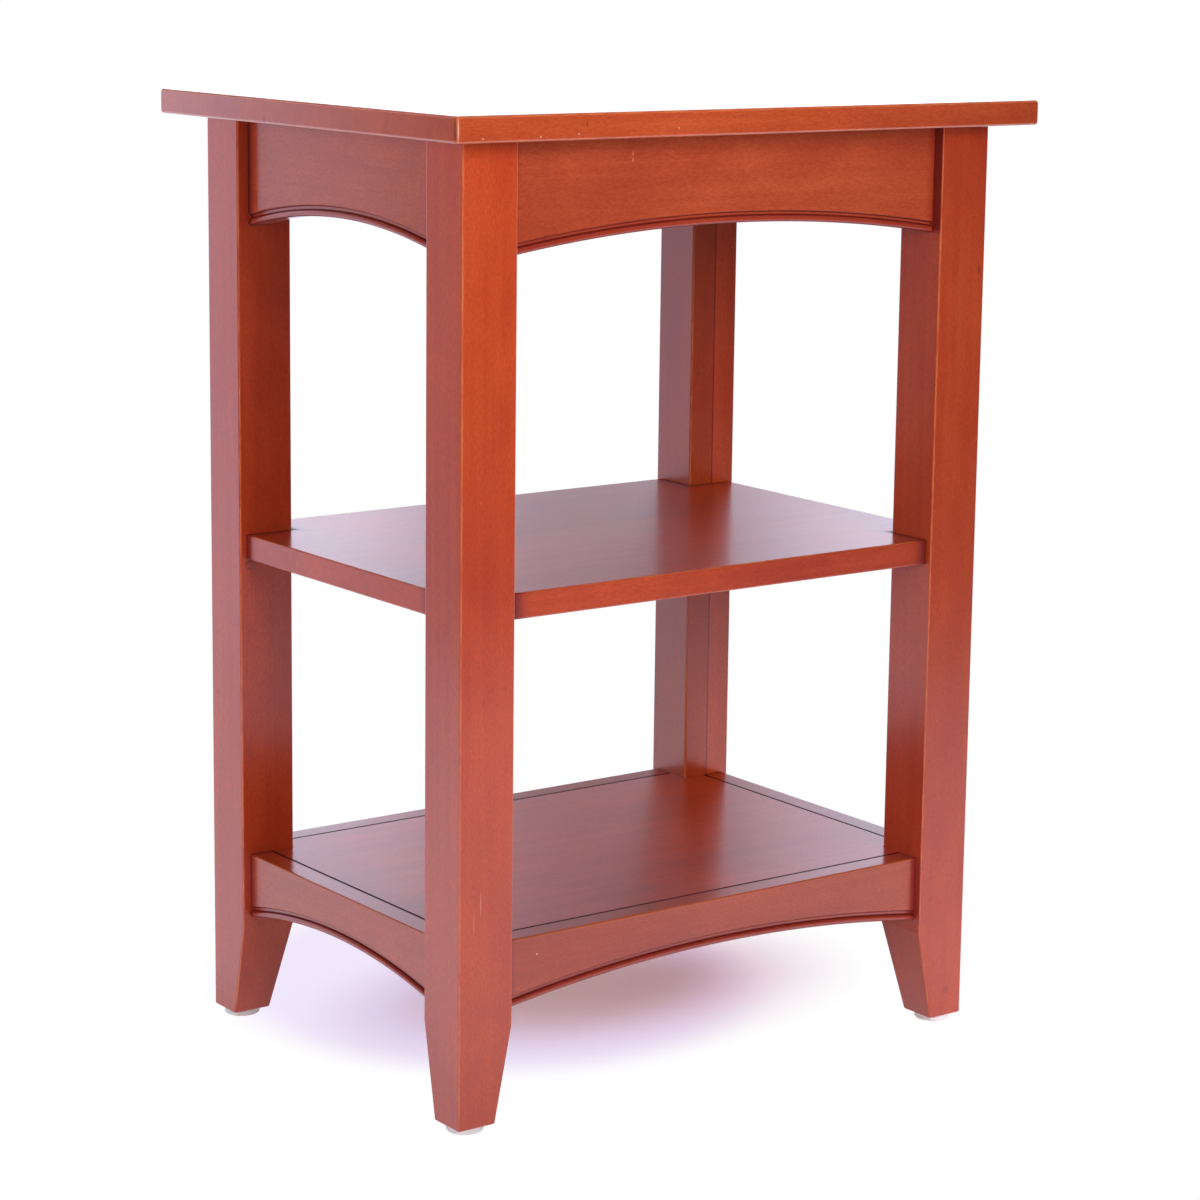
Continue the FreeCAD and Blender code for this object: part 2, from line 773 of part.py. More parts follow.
def make_screw(name, length, is_flush):
    """A screw that points along +Z. A flush head ends at the origin, a pan head sits on it."""
    body = new_body(name)
    head = size("screw_head_diameter") / 2
    shank = size("screw_diameter") / 2
    tip = [(shank, length - size("screw_point")), (ZERO, length)]
    if is_flush:
        head_up = ZERO
        revolve(body, [(ZERO, ZERO), (head, ZERO), (shank, head - shank)] + tip)
    else:
        head_up = -size("screw_head_height")
        revolve(body, [(ZERO, head_up), (head, head_up), (head, ZERO), (shank, ZERO)] + tip)
        top = head_up.number
        head_round = smallest(size("screw_head_round"), size("screw_head_height") * ROUND_TO_WALL_RATIO)
        fillet(body, "head", head_round, lambda edge: level(edge, top))
    arm = size("recess_length") / 2
    half = size("recess_width") / 2
    recess = new_sketch(body, "XY_Plane", "recess", head_up)
    draw_polygon(recess, [
        (-half, -arm), (half, -arm), (half, -half), (arm, -half), (arm, half), (half, half),
        (half, arm), (-half, arm), (-half, half), (-arm, half), (-arm, -half), (-half, -half),
    ])
    pocket(body, recess, size("recess_depth"), reverse=True)
    return body


def make_nail():
    """A nail that points along +Z, with the underside of its head at the origin."""
    body = new_body("glide_nail")
    head = size("nail_head_diameter") / 2
    shank = size("nail_diameter") / 2
    length = size("nail_length") + size("nail_head_depth")
    revolve(body, [
        (ZERO, -size("nail_head_height")), (head, -size("nail_head_height")), (head, ZERO),
        (shank, ZERO), (shank, length - size("screw_point")), (ZERO, length),
    ])
    return body


def gather(label, source, places):
    """One node of equal pieces: a link to the source at each place, as x, y, z and a turn."""
    links = []
    for number, (x, y, z, turn) in enumerate(places, 1):
        link = doc.addObject("App::Link", f"{label}_{number}")
        link.LinkedObject = source
        place(link, x, y, z, turn)
        links.append(link)
    group = doc.addObject("Part::Compound", label)
    group.Label = label
    group.Links = links
    return group


def pointing(x, y, z):
    """The turn that takes +Z to this direction."""
    return FreeCAD.Rotation(FreeCAD.Vector(0, 0, 1), FreeCAD.Vector(x, y, z))


CORNERS = [(side_x, side_y) for side_x in (-1, 1) for side_y in (-1, 1)]


def board_dowel_places(kind):
    across = kind["setback"] + kind["thickness"] / 2
    places = []
    for side_x, side_y in CORNERS:
        for below in kind["dowels"]:
            up = kind["top"] - below
            places.append((inner_x * side_x, (half_depth - across) * side_y, up, pointing(1, 0, 0)))
            places.append(((half_length - across) * side_x, inner_y * side_y, up, pointing(0, 1, 0)))
    return places


def make_dowels():
    board_dowel = make_dowel("board_dowel", size("dowel_diameter"), size("dowel_length"))
    shelf_dowel = make_dowel("shelf_dowel", size("shelf_dowel_diameter"), size("shelf_dowel_length"))
    shelf_pin = make_pin()
    shelf_middle = shelf_underside + size("shelf_thickness") / 2
    shelf_end = inner_x - size("notch_clearance") / 2
    shelf_dowel_y = half_depth - leg_side / 2
    shelf_dowels = [(shelf_end * side_x, shelf_dowel_y * side_y, shelf_middle, pointing(1, 0, 0))
                    for side_x, side_y in CORNERS]
    pin_up = shelf_underside - size("pin_drop") - size("pin_diameter") / 2
    pin_x = half_length - size("pin_inset")
    pins = [(pin_x * side_x, inner_y * side_y, pin_up, pointing(0, -side_y, 0))
            for side_x, side_y in CORNERS]
    return [
        gather("apron_dowels", board_dowel, board_dowel_places(APRON)),
        gather("rail_dowels", board_dowel, board_dowel_places(RAIL)),
        gather("middle_shelf_dowels", shelf_dowel, shelf_dowels),
        gather("middle_shelf_pins", shelf_pin, pins),
    ]


def make_screws():
    block_screw = make_screw("block_screw", size("block_screw_land") + size("block_screw_bite"), False)
    top_screw = make_screw("top_screw", size("block_height") + size("top_screw_bite"), True)
    cleat_screw = make_screw("cleat_screw", size("cleat_side") + size("cleat_screw_bite"), True)
    panel_screw = make_screw("panel_screw", size("cleat_side") + size("panel_screw_bite"), True)

    block_up = frame_top - size("block_height") / 2
    land = size("block_screw_land")
    block_screws = []
    for side_x, side_y in CORNERS:
        along_x = (block_corner_x - block_middle) * side_x
        along_y = (block_corner_y - block_middle) * side_y
        block_screws.append((along_x, (block_corner_y - land) * side_y, block_up, pointing(0, side_y, 0)))
        block_screws.append(((block_corner_x - land) * side_x, along_y, block_up, pointing(side_x, 0, 0)))

    top_start = frame_top - size("block_height")
    top_screws = [(top_screw_x * side_x, top_screw_y * side_y, top_start, NO_TURN)
                  for side_x, side_y in CORNERS]

    cleat_up = panel_underside - size("cleat_side") / 2
    inward = size("rail_setback") + size("rail_thickness") + size("cleat_side")
    cleat_places = []
    for side in (-1, 1):
        for across in along_cleat(True):
            cleat_places.append((across, (half_depth - inward) * side, cleat_up, pointing(0, side, 0)))
        for across in along_cleat(False):
            cleat_places.append(((half_length - inward) * side, across, cleat_up, pointing(side, 0, 0)))

    panel_start = panel_underside - size("cleat_side")
    panel_screws = [(x, y, panel_start, NO_TURN) for x, y in panel_screw_places()]
    return [
        gather("corner_block_screws", block_screw, block_screws),
        gather("top_screws", top_screw, top_screws),
        gather("cleat_screws", cleat_screw, cleat_places),
        gather("panel_screws", panel_screw, panel_screws),
    ]


def make_glide_nails():
    nail_up = size("glide_height") - size("nail_head_depth")
    nail_x = half_length - foot_centre
    nail_y = half_depth - foot_centre
    places = [(nail_x * side_x, nail_y * side_y, nail_up, NO_TURN) for side_x, side_y in CORNERS]
    return gather("glide_nails", make_nail(), places)


# ---------------------------------------------------------------- mirrored pieces

def mirrored(label, source, axis):
    copy = doc.addObject("Part::Mirroring", label)
    copy.Label = label
    copy.Source = source
    copy.Normal = FreeCAD.Vector(1, 0, 0) if axis == "x" else FreeCAD.Vector(0, 1, 0)
    return copy


def at_four_corners(source):
    """The other three corners' pieces, mirrored from the front left one."""
    stem = source.Label.replace("_front_left", "")
    back_left = mirrored(f"{stem}_back_left", source, "y")
    return [source, mirrored(f"{stem}_front_right", source, "x"), back_left,
            mirrored(f"{stem}_back_right", back_left, "x")]


def on_four_sides(stem, made):
    front = made[f"{stem}_front"]
    left = made[f"{stem}_left"]
    return [front, mirrored(f"{stem}_back", front, "y"), left, mirrored(f"{stem}_right", left, "x")]


# ---------------------------------------------------------------- the table

boards = make_boards()
cleats = make_cleats()
pieces = [make_top(), make_middle_shelf(), make_bottom_panel()]
pieces += at_four_corners(make_leg())
pieces += on_four_sides("apron", boards)
pieces += on_four_sides("rail", boards)
pieces += on_four_sides("cleat", cleats)
pieces += at_four_corners(make_corner_block())
pieces += at_four_corners(make_glide())
pieces += make_dowels()
pieces += make_screws()
pieces.append(make_glide_nails())
doc.recompute()

for thing in doc.Objects:
    faults = [state for state in thing.State if state in ("Invalid", "Error")]
    if faults:
        raise ValueError(f"{thing.Label} is {faults}")
for piece in pieces:
    if piece.Shape.isNull() or not piece.Shape.isValid():
        raise ValueError(f"{piece.Label} has no valid shape")

os.makedirs("parts", exist_ok=True)
for piece in pieces:
    piece.Shape.exportStep(f"parts/{piece.Label}.step")
    print(f"{piece.Label}: {len(piece.Shape.Solids)} solid(s), {piece.Shape.Volume / 1000:.2f} cm3")
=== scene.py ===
# %% [markdown]
# # An end table with two shelves, dressed in red cherry lacquer
# The joiner's work is finished before this lesson starts: legs, boards, shelves and fasteners come
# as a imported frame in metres, with Z up, the floor at zero and the front towards -Y. Here the table
# gets its finish. We set up a small studio, mix a cherry stain and a clear lacquer from nodes, run
# the beaded boards again as smooth mouldings, drive the screws, and check that nothing grew.

# %% Load the frame
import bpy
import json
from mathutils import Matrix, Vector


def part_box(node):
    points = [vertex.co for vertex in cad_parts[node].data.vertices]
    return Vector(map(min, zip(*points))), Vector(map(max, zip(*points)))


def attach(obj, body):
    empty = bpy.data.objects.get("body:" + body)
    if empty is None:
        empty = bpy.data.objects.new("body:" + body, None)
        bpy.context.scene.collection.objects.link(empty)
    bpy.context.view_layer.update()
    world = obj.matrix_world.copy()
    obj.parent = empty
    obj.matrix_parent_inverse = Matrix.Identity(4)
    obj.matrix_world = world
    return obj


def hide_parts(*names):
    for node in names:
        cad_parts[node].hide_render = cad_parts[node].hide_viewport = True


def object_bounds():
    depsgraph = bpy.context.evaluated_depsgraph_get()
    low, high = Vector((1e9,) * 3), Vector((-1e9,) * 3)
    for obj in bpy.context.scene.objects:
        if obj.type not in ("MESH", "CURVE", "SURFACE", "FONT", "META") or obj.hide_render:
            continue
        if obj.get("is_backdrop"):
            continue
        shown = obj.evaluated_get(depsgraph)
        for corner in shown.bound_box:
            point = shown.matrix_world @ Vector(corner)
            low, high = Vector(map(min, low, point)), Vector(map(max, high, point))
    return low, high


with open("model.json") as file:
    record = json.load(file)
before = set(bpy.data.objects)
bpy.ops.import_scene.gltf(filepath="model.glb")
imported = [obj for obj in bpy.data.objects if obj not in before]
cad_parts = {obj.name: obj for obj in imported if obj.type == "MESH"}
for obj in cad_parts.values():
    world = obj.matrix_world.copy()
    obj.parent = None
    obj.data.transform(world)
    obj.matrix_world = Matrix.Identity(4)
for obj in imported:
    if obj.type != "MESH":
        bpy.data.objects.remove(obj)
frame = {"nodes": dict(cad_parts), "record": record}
frame_box = [list(corner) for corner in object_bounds()]
print("nodes:", len(frame["nodes"]), "box:", [[round(v, 4) for v in corner] for corner in frame_box])

# %% Tools of the trade
import json
import math

import bmesh
import bpy
from mathutils import Vector
from mathutils.geometry import tessellate_polygon

scene = bpy.context.scene
scene.view_settings.view_transform = "Standard"
MM = 0.001


def add_object(name, data):
    """Puts new data into the scene, at the origin, unturned and unscaled."""
    thing = bpy.data.objects.new(name, data)
    scene.collection.objects.link(thing)
    return thing


# %% [markdown]
# ## Camera
# A table like this is judged from a little above the top, with the eye turned to its front left
# leg. A long lens from two and a half metres keeps the legs nearly upright, as a catalogue
# picture does. The place and the turn are written as plain numbers, because nothing else depends
# on them. A small downward shift of the frame leaves room above the top.

# %% Camera
camera_data = bpy.data.cameras.new("camera")
camera_data.sensor_width = 36
camera_data.lens = 99.22
camera_data.shift_y = -0.05
camera = add_object("camera", camera_data)
camera.location = (-1.40699, -1.93108, 0.80625)
camera.rotation_euler = [math.radians(turn) for turn in (79.5034, -0.6906, -36.0724)]
scene.camera = camera
print("camera is", round((camera.location - Vector((0, 0, 0.344))).length, 3), "m from the middle")

# %% [markdown]
# ## Nodes with few words
# Every finish below is a small net of nodes. A few helpers keep the cells short, and they all work
# on the net that was opened last. One adds a node and fills in its sockets by name or number, and the
# others stand for what comes back again and again: arithmetic, a ramp, a mix of two colours, a soft
# noise, a fine ripple, a new finish, a new group.

# %% Node helpers
WHITE = (1.0, 1.0, 1.0)
FINISHES = {}


class Net:
    """Holds the net of nodes that the helpers work on. It is always the one made last."""
    tree = None


def fill(socket, value):
    """Joins a socket to another node's socket, or writes a plain value into it."""
    if isinstance(value, bpy.types.NodeSocket):
        Net.tree.links.new(value, socket)
    elif isinstance(value, (tuple, list)) and socket.type == "RGBA" and len(value) == 3:
        socket.default_value = (*value, 1.0)
    else:
        socket.default_value = value


def fill_all(made, inputs):
    """Fills a node's sockets, which are given as name or number: value."""
    for key, value in inputs.items():
        fill(made.inputs[key], value)


def node(kind, inputs=None, **settings):
    """Adds a node, sets its options and fills its inputs."""
    made = Net.tree.nodes.new(kind)
    for option, value in settings.items():
        setattr(made, option, value)
    fill_all(made, inputs or {})
    return made


def in_use(sockets):
    """The first socket that the node's options leave in use."""
    return next(socket for socket in sockets if socket.enabled)


def maths(operation, first, *others):
    """Works through its values in turn with one kind of arithmetic. A lone value gets a zero beside
    it, which the kinds for one value ignore."""
    result = first
    for other in others or (0.0,):
        result = node("ShaderNodeMath", {0: result, 1: other}, operation=operation).outputs[0]
    return result


def times(*values):
    return maths("MULTIPLY", *values)


def total(*values):
    return maths("ADD", *values)


def minus(first, second):
    return maths("SUBTRACT", first, second)


def vector_maths(operation, *values):
    """One step of arithmetic on places. A length and a dot product come out as plain values."""
    made = node("ShaderNodeVectorMath", dict(enumerate(values)), operation=operation)
    return made.outputs["Value" if operation in ("LENGTH", "DOT_PRODUCT") else "Vector"]


def split(place):
    """The three parts of a place, along X, Y and Z."""
    return node("ShaderNodeSeparateXYZ", {0: place}).outputs


def off_middle(place, middle, stretch):
    """How far a place lies from the middle of an oval."""
    offset = vector_maths("SUBTRACT", place, middle)
    return vector_maths("LENGTH", vector_maths("MULTIPLY", offset, stretch))


def ramp(value, low, high, start=0.0, end=1.0, smooth=True):
    """Maps low..high to start..end and holds the ends."""
    limits = {"Value": value, "From Min": low, "From Max": high, "To Min": start, "To Max": end}
    style = "SMOOTHSTEP" if smooth else "LINEAR"
    return node("ShaderNodeMapRange", limits, interpolation_type=style).outputs["Result"]


def blend(factor, first, second, mode="MIX"):
    """Mixes two colours."""
    made = node("ShaderNodeMix", data_type="RGBA", blend_type=mode)
    sockets = [s for s in made.inputs if s.enabled]
    for socket, value in zip(sockets, (factor, first, second)):
        fill(socket, value)
    return in_use(made.outputs)


def noise(place, scale, detail=2.0, roughness=0.5, distortion=0.0):
    """Soft random values, mostly near the middle of 0 to 1."""
    return node("ShaderNodeTexNoise", {
        "Vector": place, "Scale": scale, "Detail": detail, "Roughness": roughness,
        "Distortion": distortion}).outputs["Fac"]


def mix_shaders(share, first, second):
    """Lays the second shader over the first."""
    return node("ShaderNodeMixShader", {0: share, 1: first, 2: second}).outputs[0]


def ripple(height, strength, distance):
    """Turns a height into a surface that leans this way and that."""
    return node("ShaderNodeBump", {
        "Height": height, "Strength": strength, "Distance": distance}).outputs[0]


def new_finish(name):
    """Makes a material and opens its net. Its shader and the place on the table come back."""
    finish = FINISHES[name] = bpy.data.materials.new(name)
    finish.use_nodes = True
    Net.tree = finish.node_tree
    return Net.tree.nodes["Principled BSDF"], node("ShaderNodeTexCoord").outputs["Object"]


def show_instead(shader, surface):
    """Takes the plain shader out of the open net and shows another surface."""
    Net.tree.nodes.remove(shader)
    fill(Net.tree.nodes["Material Output"].inputs["Surface"], surface)


def new_group(name, inputs, outputs, kind="ShaderNodeTree"):
    """Makes a node group and opens its net. Its sockets are given as name: (type, value)."""
    tree = Net.tree = bpy.data.node_groups.new(name, kind)
    for direction, sockets in (("INPUT", inputs), ("OUTPUT", outputs)):
        for label, (socket_kind, value) in sockets.items():
            made = tree.interface.new_socket(label, in_out=direction,
                                             socket_type="NodeSocket" + socket_kind)
            if value is not None:
                made.default_value = value
    return tree, tree.nodes.new("NodeGroupInput").outputs, tree.nodes.new("NodeGroupOutput").inputs


# %% [markdown]
# ## Floor
# The table stands on a sheet of pale paper. A disc of that paper carries the soft shadow and throws
# light back up at the legs. In an oval under the table the camera sees a mix of that paper, with its
# real shadow, and a painted shadow tint, which is rose in the middle, lilac to the left of it and pink
# to the right. A faint lavender painted shadow lies round the back left foot. Further out the camera
# sees plain white, so the sheet has no edge. In the lacquer the paper shows bright, up to where it
# ends. Seen from below, the disc is clear, so that the feet and the underside can be looked at.

# %% Floor
PAPER_RADIUS, PAPER_FADE, PAPER_LEVEL, PAPER_CORNERS = 1.75, 0.5, -0.0003, 96
# the ovals and colours of the painted shadow that the camera sees on the floor
SHADE_MIDDLE, SHADE_STRETCH, SHADE_REACH = (0.03, 0.05, 0.0), (0.72, 1.1, 1.0), (0.02, 0.19)
SHADE_HAZE_MIDDLE, SHADE_HAZE_STRETCH, SHADE_HAZE_REACH = (-0.02, 0.11, 0.0), (1.2, 1.1, 1.0), (0.195, 0.265)
PAINTED_ROSE_SHADE, PAINTED_PINK_SHADE = (0.80, 0.46, 0.50), (1.0, 0.58, 0.86)
PAINTED_LILAC_SHADE, PAINTED_LAVENDER_SHADE = (0.82, 0.62, 1.0), (0.88, 0.80, 0.97)
PAPER_DIM, PAPER_PALE, PAPER_SHINE = (0.92, 0.90, 0.935), (0.94, 0.92, 0.955), (1.06, 1.02, 1.20)
TINT_TURNS, SHINE_REACH, SHINE_FROM, SHINE_TO, LEAST_TINT = (-0.15, 0.20), (0.12, 0.42), 0.12, 0.95, 0.24

turns = [math.tau * i / PAPER_CORNERS for i in range(PAPER_CORNERS)]
paper_mesh = bpy.data.meshes.new("paper")
paper_mesh.from_pydata([(PAPER_RADIUS * math.cos(turn), PAPER_RADIUS * math.sin(turn), PAPER_LEVEL)
                        for turn in turns], [], [tuple(range(PAPER_CORNERS))])
paper = add_object("paper_floor", paper_mesh)
paper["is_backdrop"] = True

shader, spot = new_finish("paper_floor")
tooth = ramp(noise(spot, 900.0), 0.3, 0.7)
paper_grey = blend(tooth, PAPER_DIM, PAPER_PALE)
matt = node("ShaderNodeBsdfDiffuse", {"Color": paper_grey}).outputs[0]
# painted shadow: an oval under the table, rose in the middle, lilac to the left, pink to the right, and a
# lavender haze round the back left foot
ring = ramp(off_middle(spot, SHADE_MIDDLE, SHADE_STRETCH), *SHADE_REACH)
haze = ramp(off_middle(spot, SHADE_HAZE_MIDDLE, SHADE_HAZE_STRETCH), *SHADE_HAZE_REACH)
painted_shade_tint = blend(ramp(split(spot)[0], *TINT_TURNS), PAINTED_LILAC_SHADE, PAINTED_PINK_SHADE)
painted_shade_tint = blend(ramp(ring, 0.0, 0.6, smooth=False), PAINTED_ROSE_SHADE, painted_shade_tint)
painted_shade_tint = blend(ring, painted_shade_tint, blend(haze, PAINTED_LAVENDER_SHADE, WHITE))
glow = node("ShaderNodeEmission", {"Color": painted_shade_tint}).outputs[0]
light_path = node("ShaderNodeLightPath").outputs
melt = times(ramp(ring, 0.0, 1.0, LEAST_TINT, 1.0, smooth=False), light_path["Is Camera Ray"])
sheet = mix_shaders(melt, matt, glow)
shine = node("ShaderNodeEmission", {"Color": PAPER_SHINE}).outputs[0]
away = vector_maths("LENGTH", spot)
mirrored = times(light_path["Is Glossy Ray"], ramp(away, *SHINE_REACH, SHINE_FROM, SHINE_TO))
sheet = mix_shaders(mirrored, sheet, shine)
clear = node("ShaderNodeBsdfTransparent").outputs[0]
edge = ramp(away, PAPER_RADIUS - PAPER_FADE, PAPER_RADIUS)
unseen = minus(1.0, light_path["Is Camera Ray"])
hidden = maths("MAXIMUM", node("ShaderNodeNewGeometry").outputs["Backfacing"], times(edge, unseen))
show_instead(shader, mix_shaders(hidden, sheet, clear))
paper_mesh.materials.append(FINISHES["paper_floor"])
print("paper disc:", PAPER_RADIUS * 2, "m across")

# %% [markdown]
# ## Light
# Gloss is only as good as what it mirrors. A white backdrop curves round the far side of the table,
# from straight behind its left end to well past its right one. It is whitest low down, turns to a
# cool lavender above and ends not far over the table, and the rest of the room is dark. Its two
# sheets meet behind the far right leg in a dull seam, which keeps the middle of each shelf deep. The
# far left faces pick up a milky sheen, the shelves mirror the backdrop, and the front faces keep
# their full red. The camera itself sees plain white everywhere.

# %% World
LEFT_END, RIGHT_END, UPPER_END = (-29.5, -26.0), (98.0, 110.0), (0.30, 0.50)
SEAM_AT, SEAM_HALF, SEAM_RISE, SEAM_DEPTH = 36.3, (1.2, 5.2), (0.03, 0.21), 0.97
BELOW, LOW_DOWN, HIGH_UP = (1.20, 1.22, 1.55), (1.90, 1.85, 2.00), (1.56, 1.54, 1.93)
DARK_ROOM, SOFT_ROOM = (0.03, 0.027, 0.03), (0.185, 0.178, 0.185)
world = bpy.data.worlds.new("studio")
scene.world = world
world.use_nodes = True
Net.tree = world.node_tree
Net.tree.nodes.clear()
compass = split(node("ShaderNodeTexCoord").outputs["Generated"])
azimuth = maths("ARCTAN2", compass[0], compass[1])
beside = maths("ABSOLUTE", minus(azimuth, math.radians(SEAM_AT)))
seam = times(ramp(beside, *map(math.radians, SEAM_HALF), 1.0, 0.0),
             ramp(compass[2], *SEAM_RISE, 0.0, SEAM_DEPTH, smooth=False))
backdrop = times(ramp(azimuth, *map(math.radians, LEFT_END)),
                 ramp(azimuth, *map(math.radians, RIGHT_END), 1.0, 0.0),
                 ramp(compass[2], *UPPER_END, 1.0, 0.0), minus(1.0, seam))
paint = blend(ramp(compass[2], -0.06, 0.02), BELOW, LOW_DOWN)
paint = blend(ramp(compass[2], 0.07, 0.15), paint, HIGH_UP)
seen = blend(backdrop, DARK_ROOM, paint)
light_path = node("ShaderNodeLightPath").outputs
room = blend(light_path["Is Glossy Ray"], SOFT_ROOM, seen)
plain = maths("MAXIMUM", light_path["Is Camera Ray"], light_path["Is Transmission Ray"])
background = node("ShaderNodeBackground", {"Color": blend(plain, room, WHITE)}).outputs[0]
node("ShaderNodeOutputWorld", {"Surface": background})
print("backdrop from", LEFT_END[0], "to", RIGHT_END[1], "degrees, its seam at", SEAM_AT)

# %% [markdown]
# The left end of the backdrop is the one part whose distance matters. The left faces of the legs all
# mirror it, but each looks past its soft edge from another place, so they range from milky to nearly
# clear. A world has no distance, so a real card stands there, three metres off, with its edge melting
# away. Only mirrored rays see it.

# %% Backdrop card
CARD_AWAY, CARD_TURN = 3.0, math.radians(-35)
CARD_LEFT, CARD_RIGHT, CARD_FOOT, CARD_HEAD = -0.3, 0.75, -0.7, 1.1
CARD_CLEAR, CARD_FULL, CARD_FADES = -0.26, 0.22, 0.45
CLOTH_DIM, CLOTH_PALE = (1.58, 1.46, 1.86), (1.66, 1.54, 1.96)
outward = Vector((math.sin(CARD_TURN), math.cos(CARD_TURN), 0.0))
sideways = Vector((math.cos(CARD_TURN), -math.sin(CARD_TURN), 0.0))
corners = ((CARD_LEFT, CARD_FOOT), (CARD_RIGHT, CARD_FOOT), (CARD_RIGHT, CARD_HEAD),
           (CARD_LEFT, CARD_HEAD))
card_mesh = bpy.data.meshes.new("card")
card_mesh.from_pydata([outward * CARD_AWAY + sideways * across + Vector((0.0, 0.0, up))
                       for across, up in corners], [], [(0, 1, 2, 3)])
card = add_object("backdrop_card", card_mesh)
card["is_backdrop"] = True

shader, spot = new_finish("backdrop_card")
across = vector_maths("DOT_PRODUCT", spot, tuple(sideways))
cloth = blend(ramp(noise(spot, 6.0), 0.35, 0.65), CLOTH_DIM, CLOTH_PALE)
glow = node("ShaderNodeEmission", {"Color": cloth}).outputs[0]
clear = node("ShaderNodeBsdfTransparent").outputs[0]
melt = times(ramp(across, CARD_CLEAR, CARD_FULL, smooth=False),
             ramp(across, CARD_FADES, CARD_RIGHT, 1.0, 0.0),
             node("ShaderNodeLightPath").outputs["Is Glossy Ray"])
show_instead(shader, mix_shaders(melt, clear, glow))
card_mesh.materials.append(FINISHES["backdrop_card"])
print("card:", round(CARD_RIGHT - CARD_LEFT, 2), "m wide,", CARD_AWAY, "m away")

# %% [markdown]
# One tall soft lamp stands in front. Its height makes the shade under the top fade slowly. A weaker
# one stands at the left, and a small one picks out the far right foot, where the paper throws back
# the most light. Two more light what faces up and what faces back and right, so that the table can
# be walked round. The camera doesn't see the lamps, and the lacquer doesn't mirror them, because it
# would show them as a haze.

# %% Lamps
def soft_lamp(name, target, azimuth, height, distance, width, tall, spread, watts):
    """A soft lamp aimed at a spot on the table. Azimuth 0 is straight in front."""
    lamp_data = bpy.data.lights.new(name, "AREA")
    lamp_data.shape = "RECTANGLE"
    lamp_data.size, lamp_data.size_y = width, tall
    lamp_data.energy = watts
    lamp_data.spread = math.radians(spread)
    lamp = add_object(name, lamp_data)
    turn, rise = math.radians(azimuth), math.radians(height)
    away = Vector((math.sin(turn) * math.cos(rise), -math.cos(turn) * math.cos(rise), math.sin(rise)))
    lamp.location = Vector(target) + away * distance
    lamp.rotation_euler = away.to_track_quat("Z", "Y").to_euler()
    lamp.visible_camera = False
    lamp.visible_glossy = False
    print(name, round(watts, 3), "W")


soft_lamp("key_lamp", (-0.10, -0.16, 0.56), -5, 15, 1.5, 0.45, 0.85, 75, 3.75)
soft_lamp("fill_lamp", (-0.2, 0.0, 0.40), -80, 11, 1.4, 0.7, 0.8, 120, 3.9)
soft_lamp("foot_lamp", (0.245, -0.165, -0.035), 8, 6, 1.2, 0.15, 0.15, 22, 0.085)
soft_lamp("top_lamp", (0.0, 0.0, 0.6885), 0, 89, 2.2, 0.4, 0.4, 31, 0.82)
soft_lamp("back_lamp", (0.1, 0.1, 0.40), 142, 9, 2.2, 1.0, 1.0, 120, 9.0)

# %% [markdown]
# ## Cherry figure
# Under the stain the wood is cherry or something cut to look like it. Close up it is a fine mottle
# of flecks a millimetre or two long, with short pores. Further off there are streaks and soft
# clouds, a few centimetres wide, and a slow drift down each board where the stain took more or
# less. All of it is noise that is stretched along the grain. The group takes a place, already turned
# so that the grain runs along X, and puts out masks. Each finish mixes its own colours with them.

# %% Cherry figure
MASKS = ("Drift", "Cloud", "Band", "Fleck", "Pores")
figure_group, come, out = new_group(
    "cherry figure", {"Place": ("Vector", None), "Cloud Size": ("Float", 1.0)},
    {mask: ("Float", None) for mask in (*MASKS, "Relief")})


def stretched_noise(place, along, across, detail=2.0, roughness=0.5, distortion=0.0):
    """Noise drawn out along X: so many waves to the metre along the grain and across it."""
    scaled = vector_maths("MULTIPLY", place, (along, across, across))
    return noise(scaled, 1.0, detail, roughness, distortion)


sized = node("ShaderNodeVectorMath", {0: come["Place"], "Scale": come["Cloud Size"]},
             operation="SCALE").outputs[0]
drift = stretched_noise(sized, 3.0, 5.5)
cloud = stretched_noise(sized, 14.0, 26.0, 6.0, 0.62, 0.4)
band = stretched_noise(sized, 4.0, 150.0, 5.0, 0.6, 0.4)
fleck = stretched_noise(come["Place"], 300.0, 900.0, 3.0, 0.7)
pores = ramp(stretched_noise(come["Place"], 190.0, 1900.0), 0.64, 0.74)
fill(out["Drift"], ramp(drift, 0.36, 0.64))
fill(out["Cloud"], ramp(cloud, 0.30, 0.70))
fill(out["Band"], ramp(band, 0.36, 0.64))
fill(out["Fleck"], ramp(fleck, 0.35, 0.66))
fill(out["Pores"], pores)
height = minus(times(fleck, 0.6), times(pores, 0.8))
fill(out["Relief"], height)
print("masks:", [socket.name for socket in out if socket.name])

# %% [markdown]
# ## Eased edges
# Sharp edges lose some stain: the sander breaks them, the rag wipes them, and they dry to a thin
# line that is a little more orange than the face. On this table every edge is a narrow band whose
# face leans away from the flat sides, so the band can be found from the direction of the surface
# alone. A broken noise keeps the line from being ruled.

# %% Eased edges
FACE_STARTS, EDGE_IS_FULL = 0.965, 0.86
edge_group, come, out = new_group("eased edge", {"Place": ("Vector", None)}, {"Edge": ("Float", None)})
aim = node("ShaderNodeTexCoord").outputs["Normal"]
straightest = maths("MAXIMUM", *split(vector_maths("ABSOLUTE", aim)))
band = ramp(straightest, EDGE_IS_FULL, FACE_STARTS, 1.0, 0.0)
breaks = ramp(noise(come["Place"], 55.0, 3.0), 0.3, 0.65, 0.25, 1.0)
fill(out["Edge"], times(band, breaks))
print("an edge is where no axis holds more than", FACE_STARTS, "of the direction")
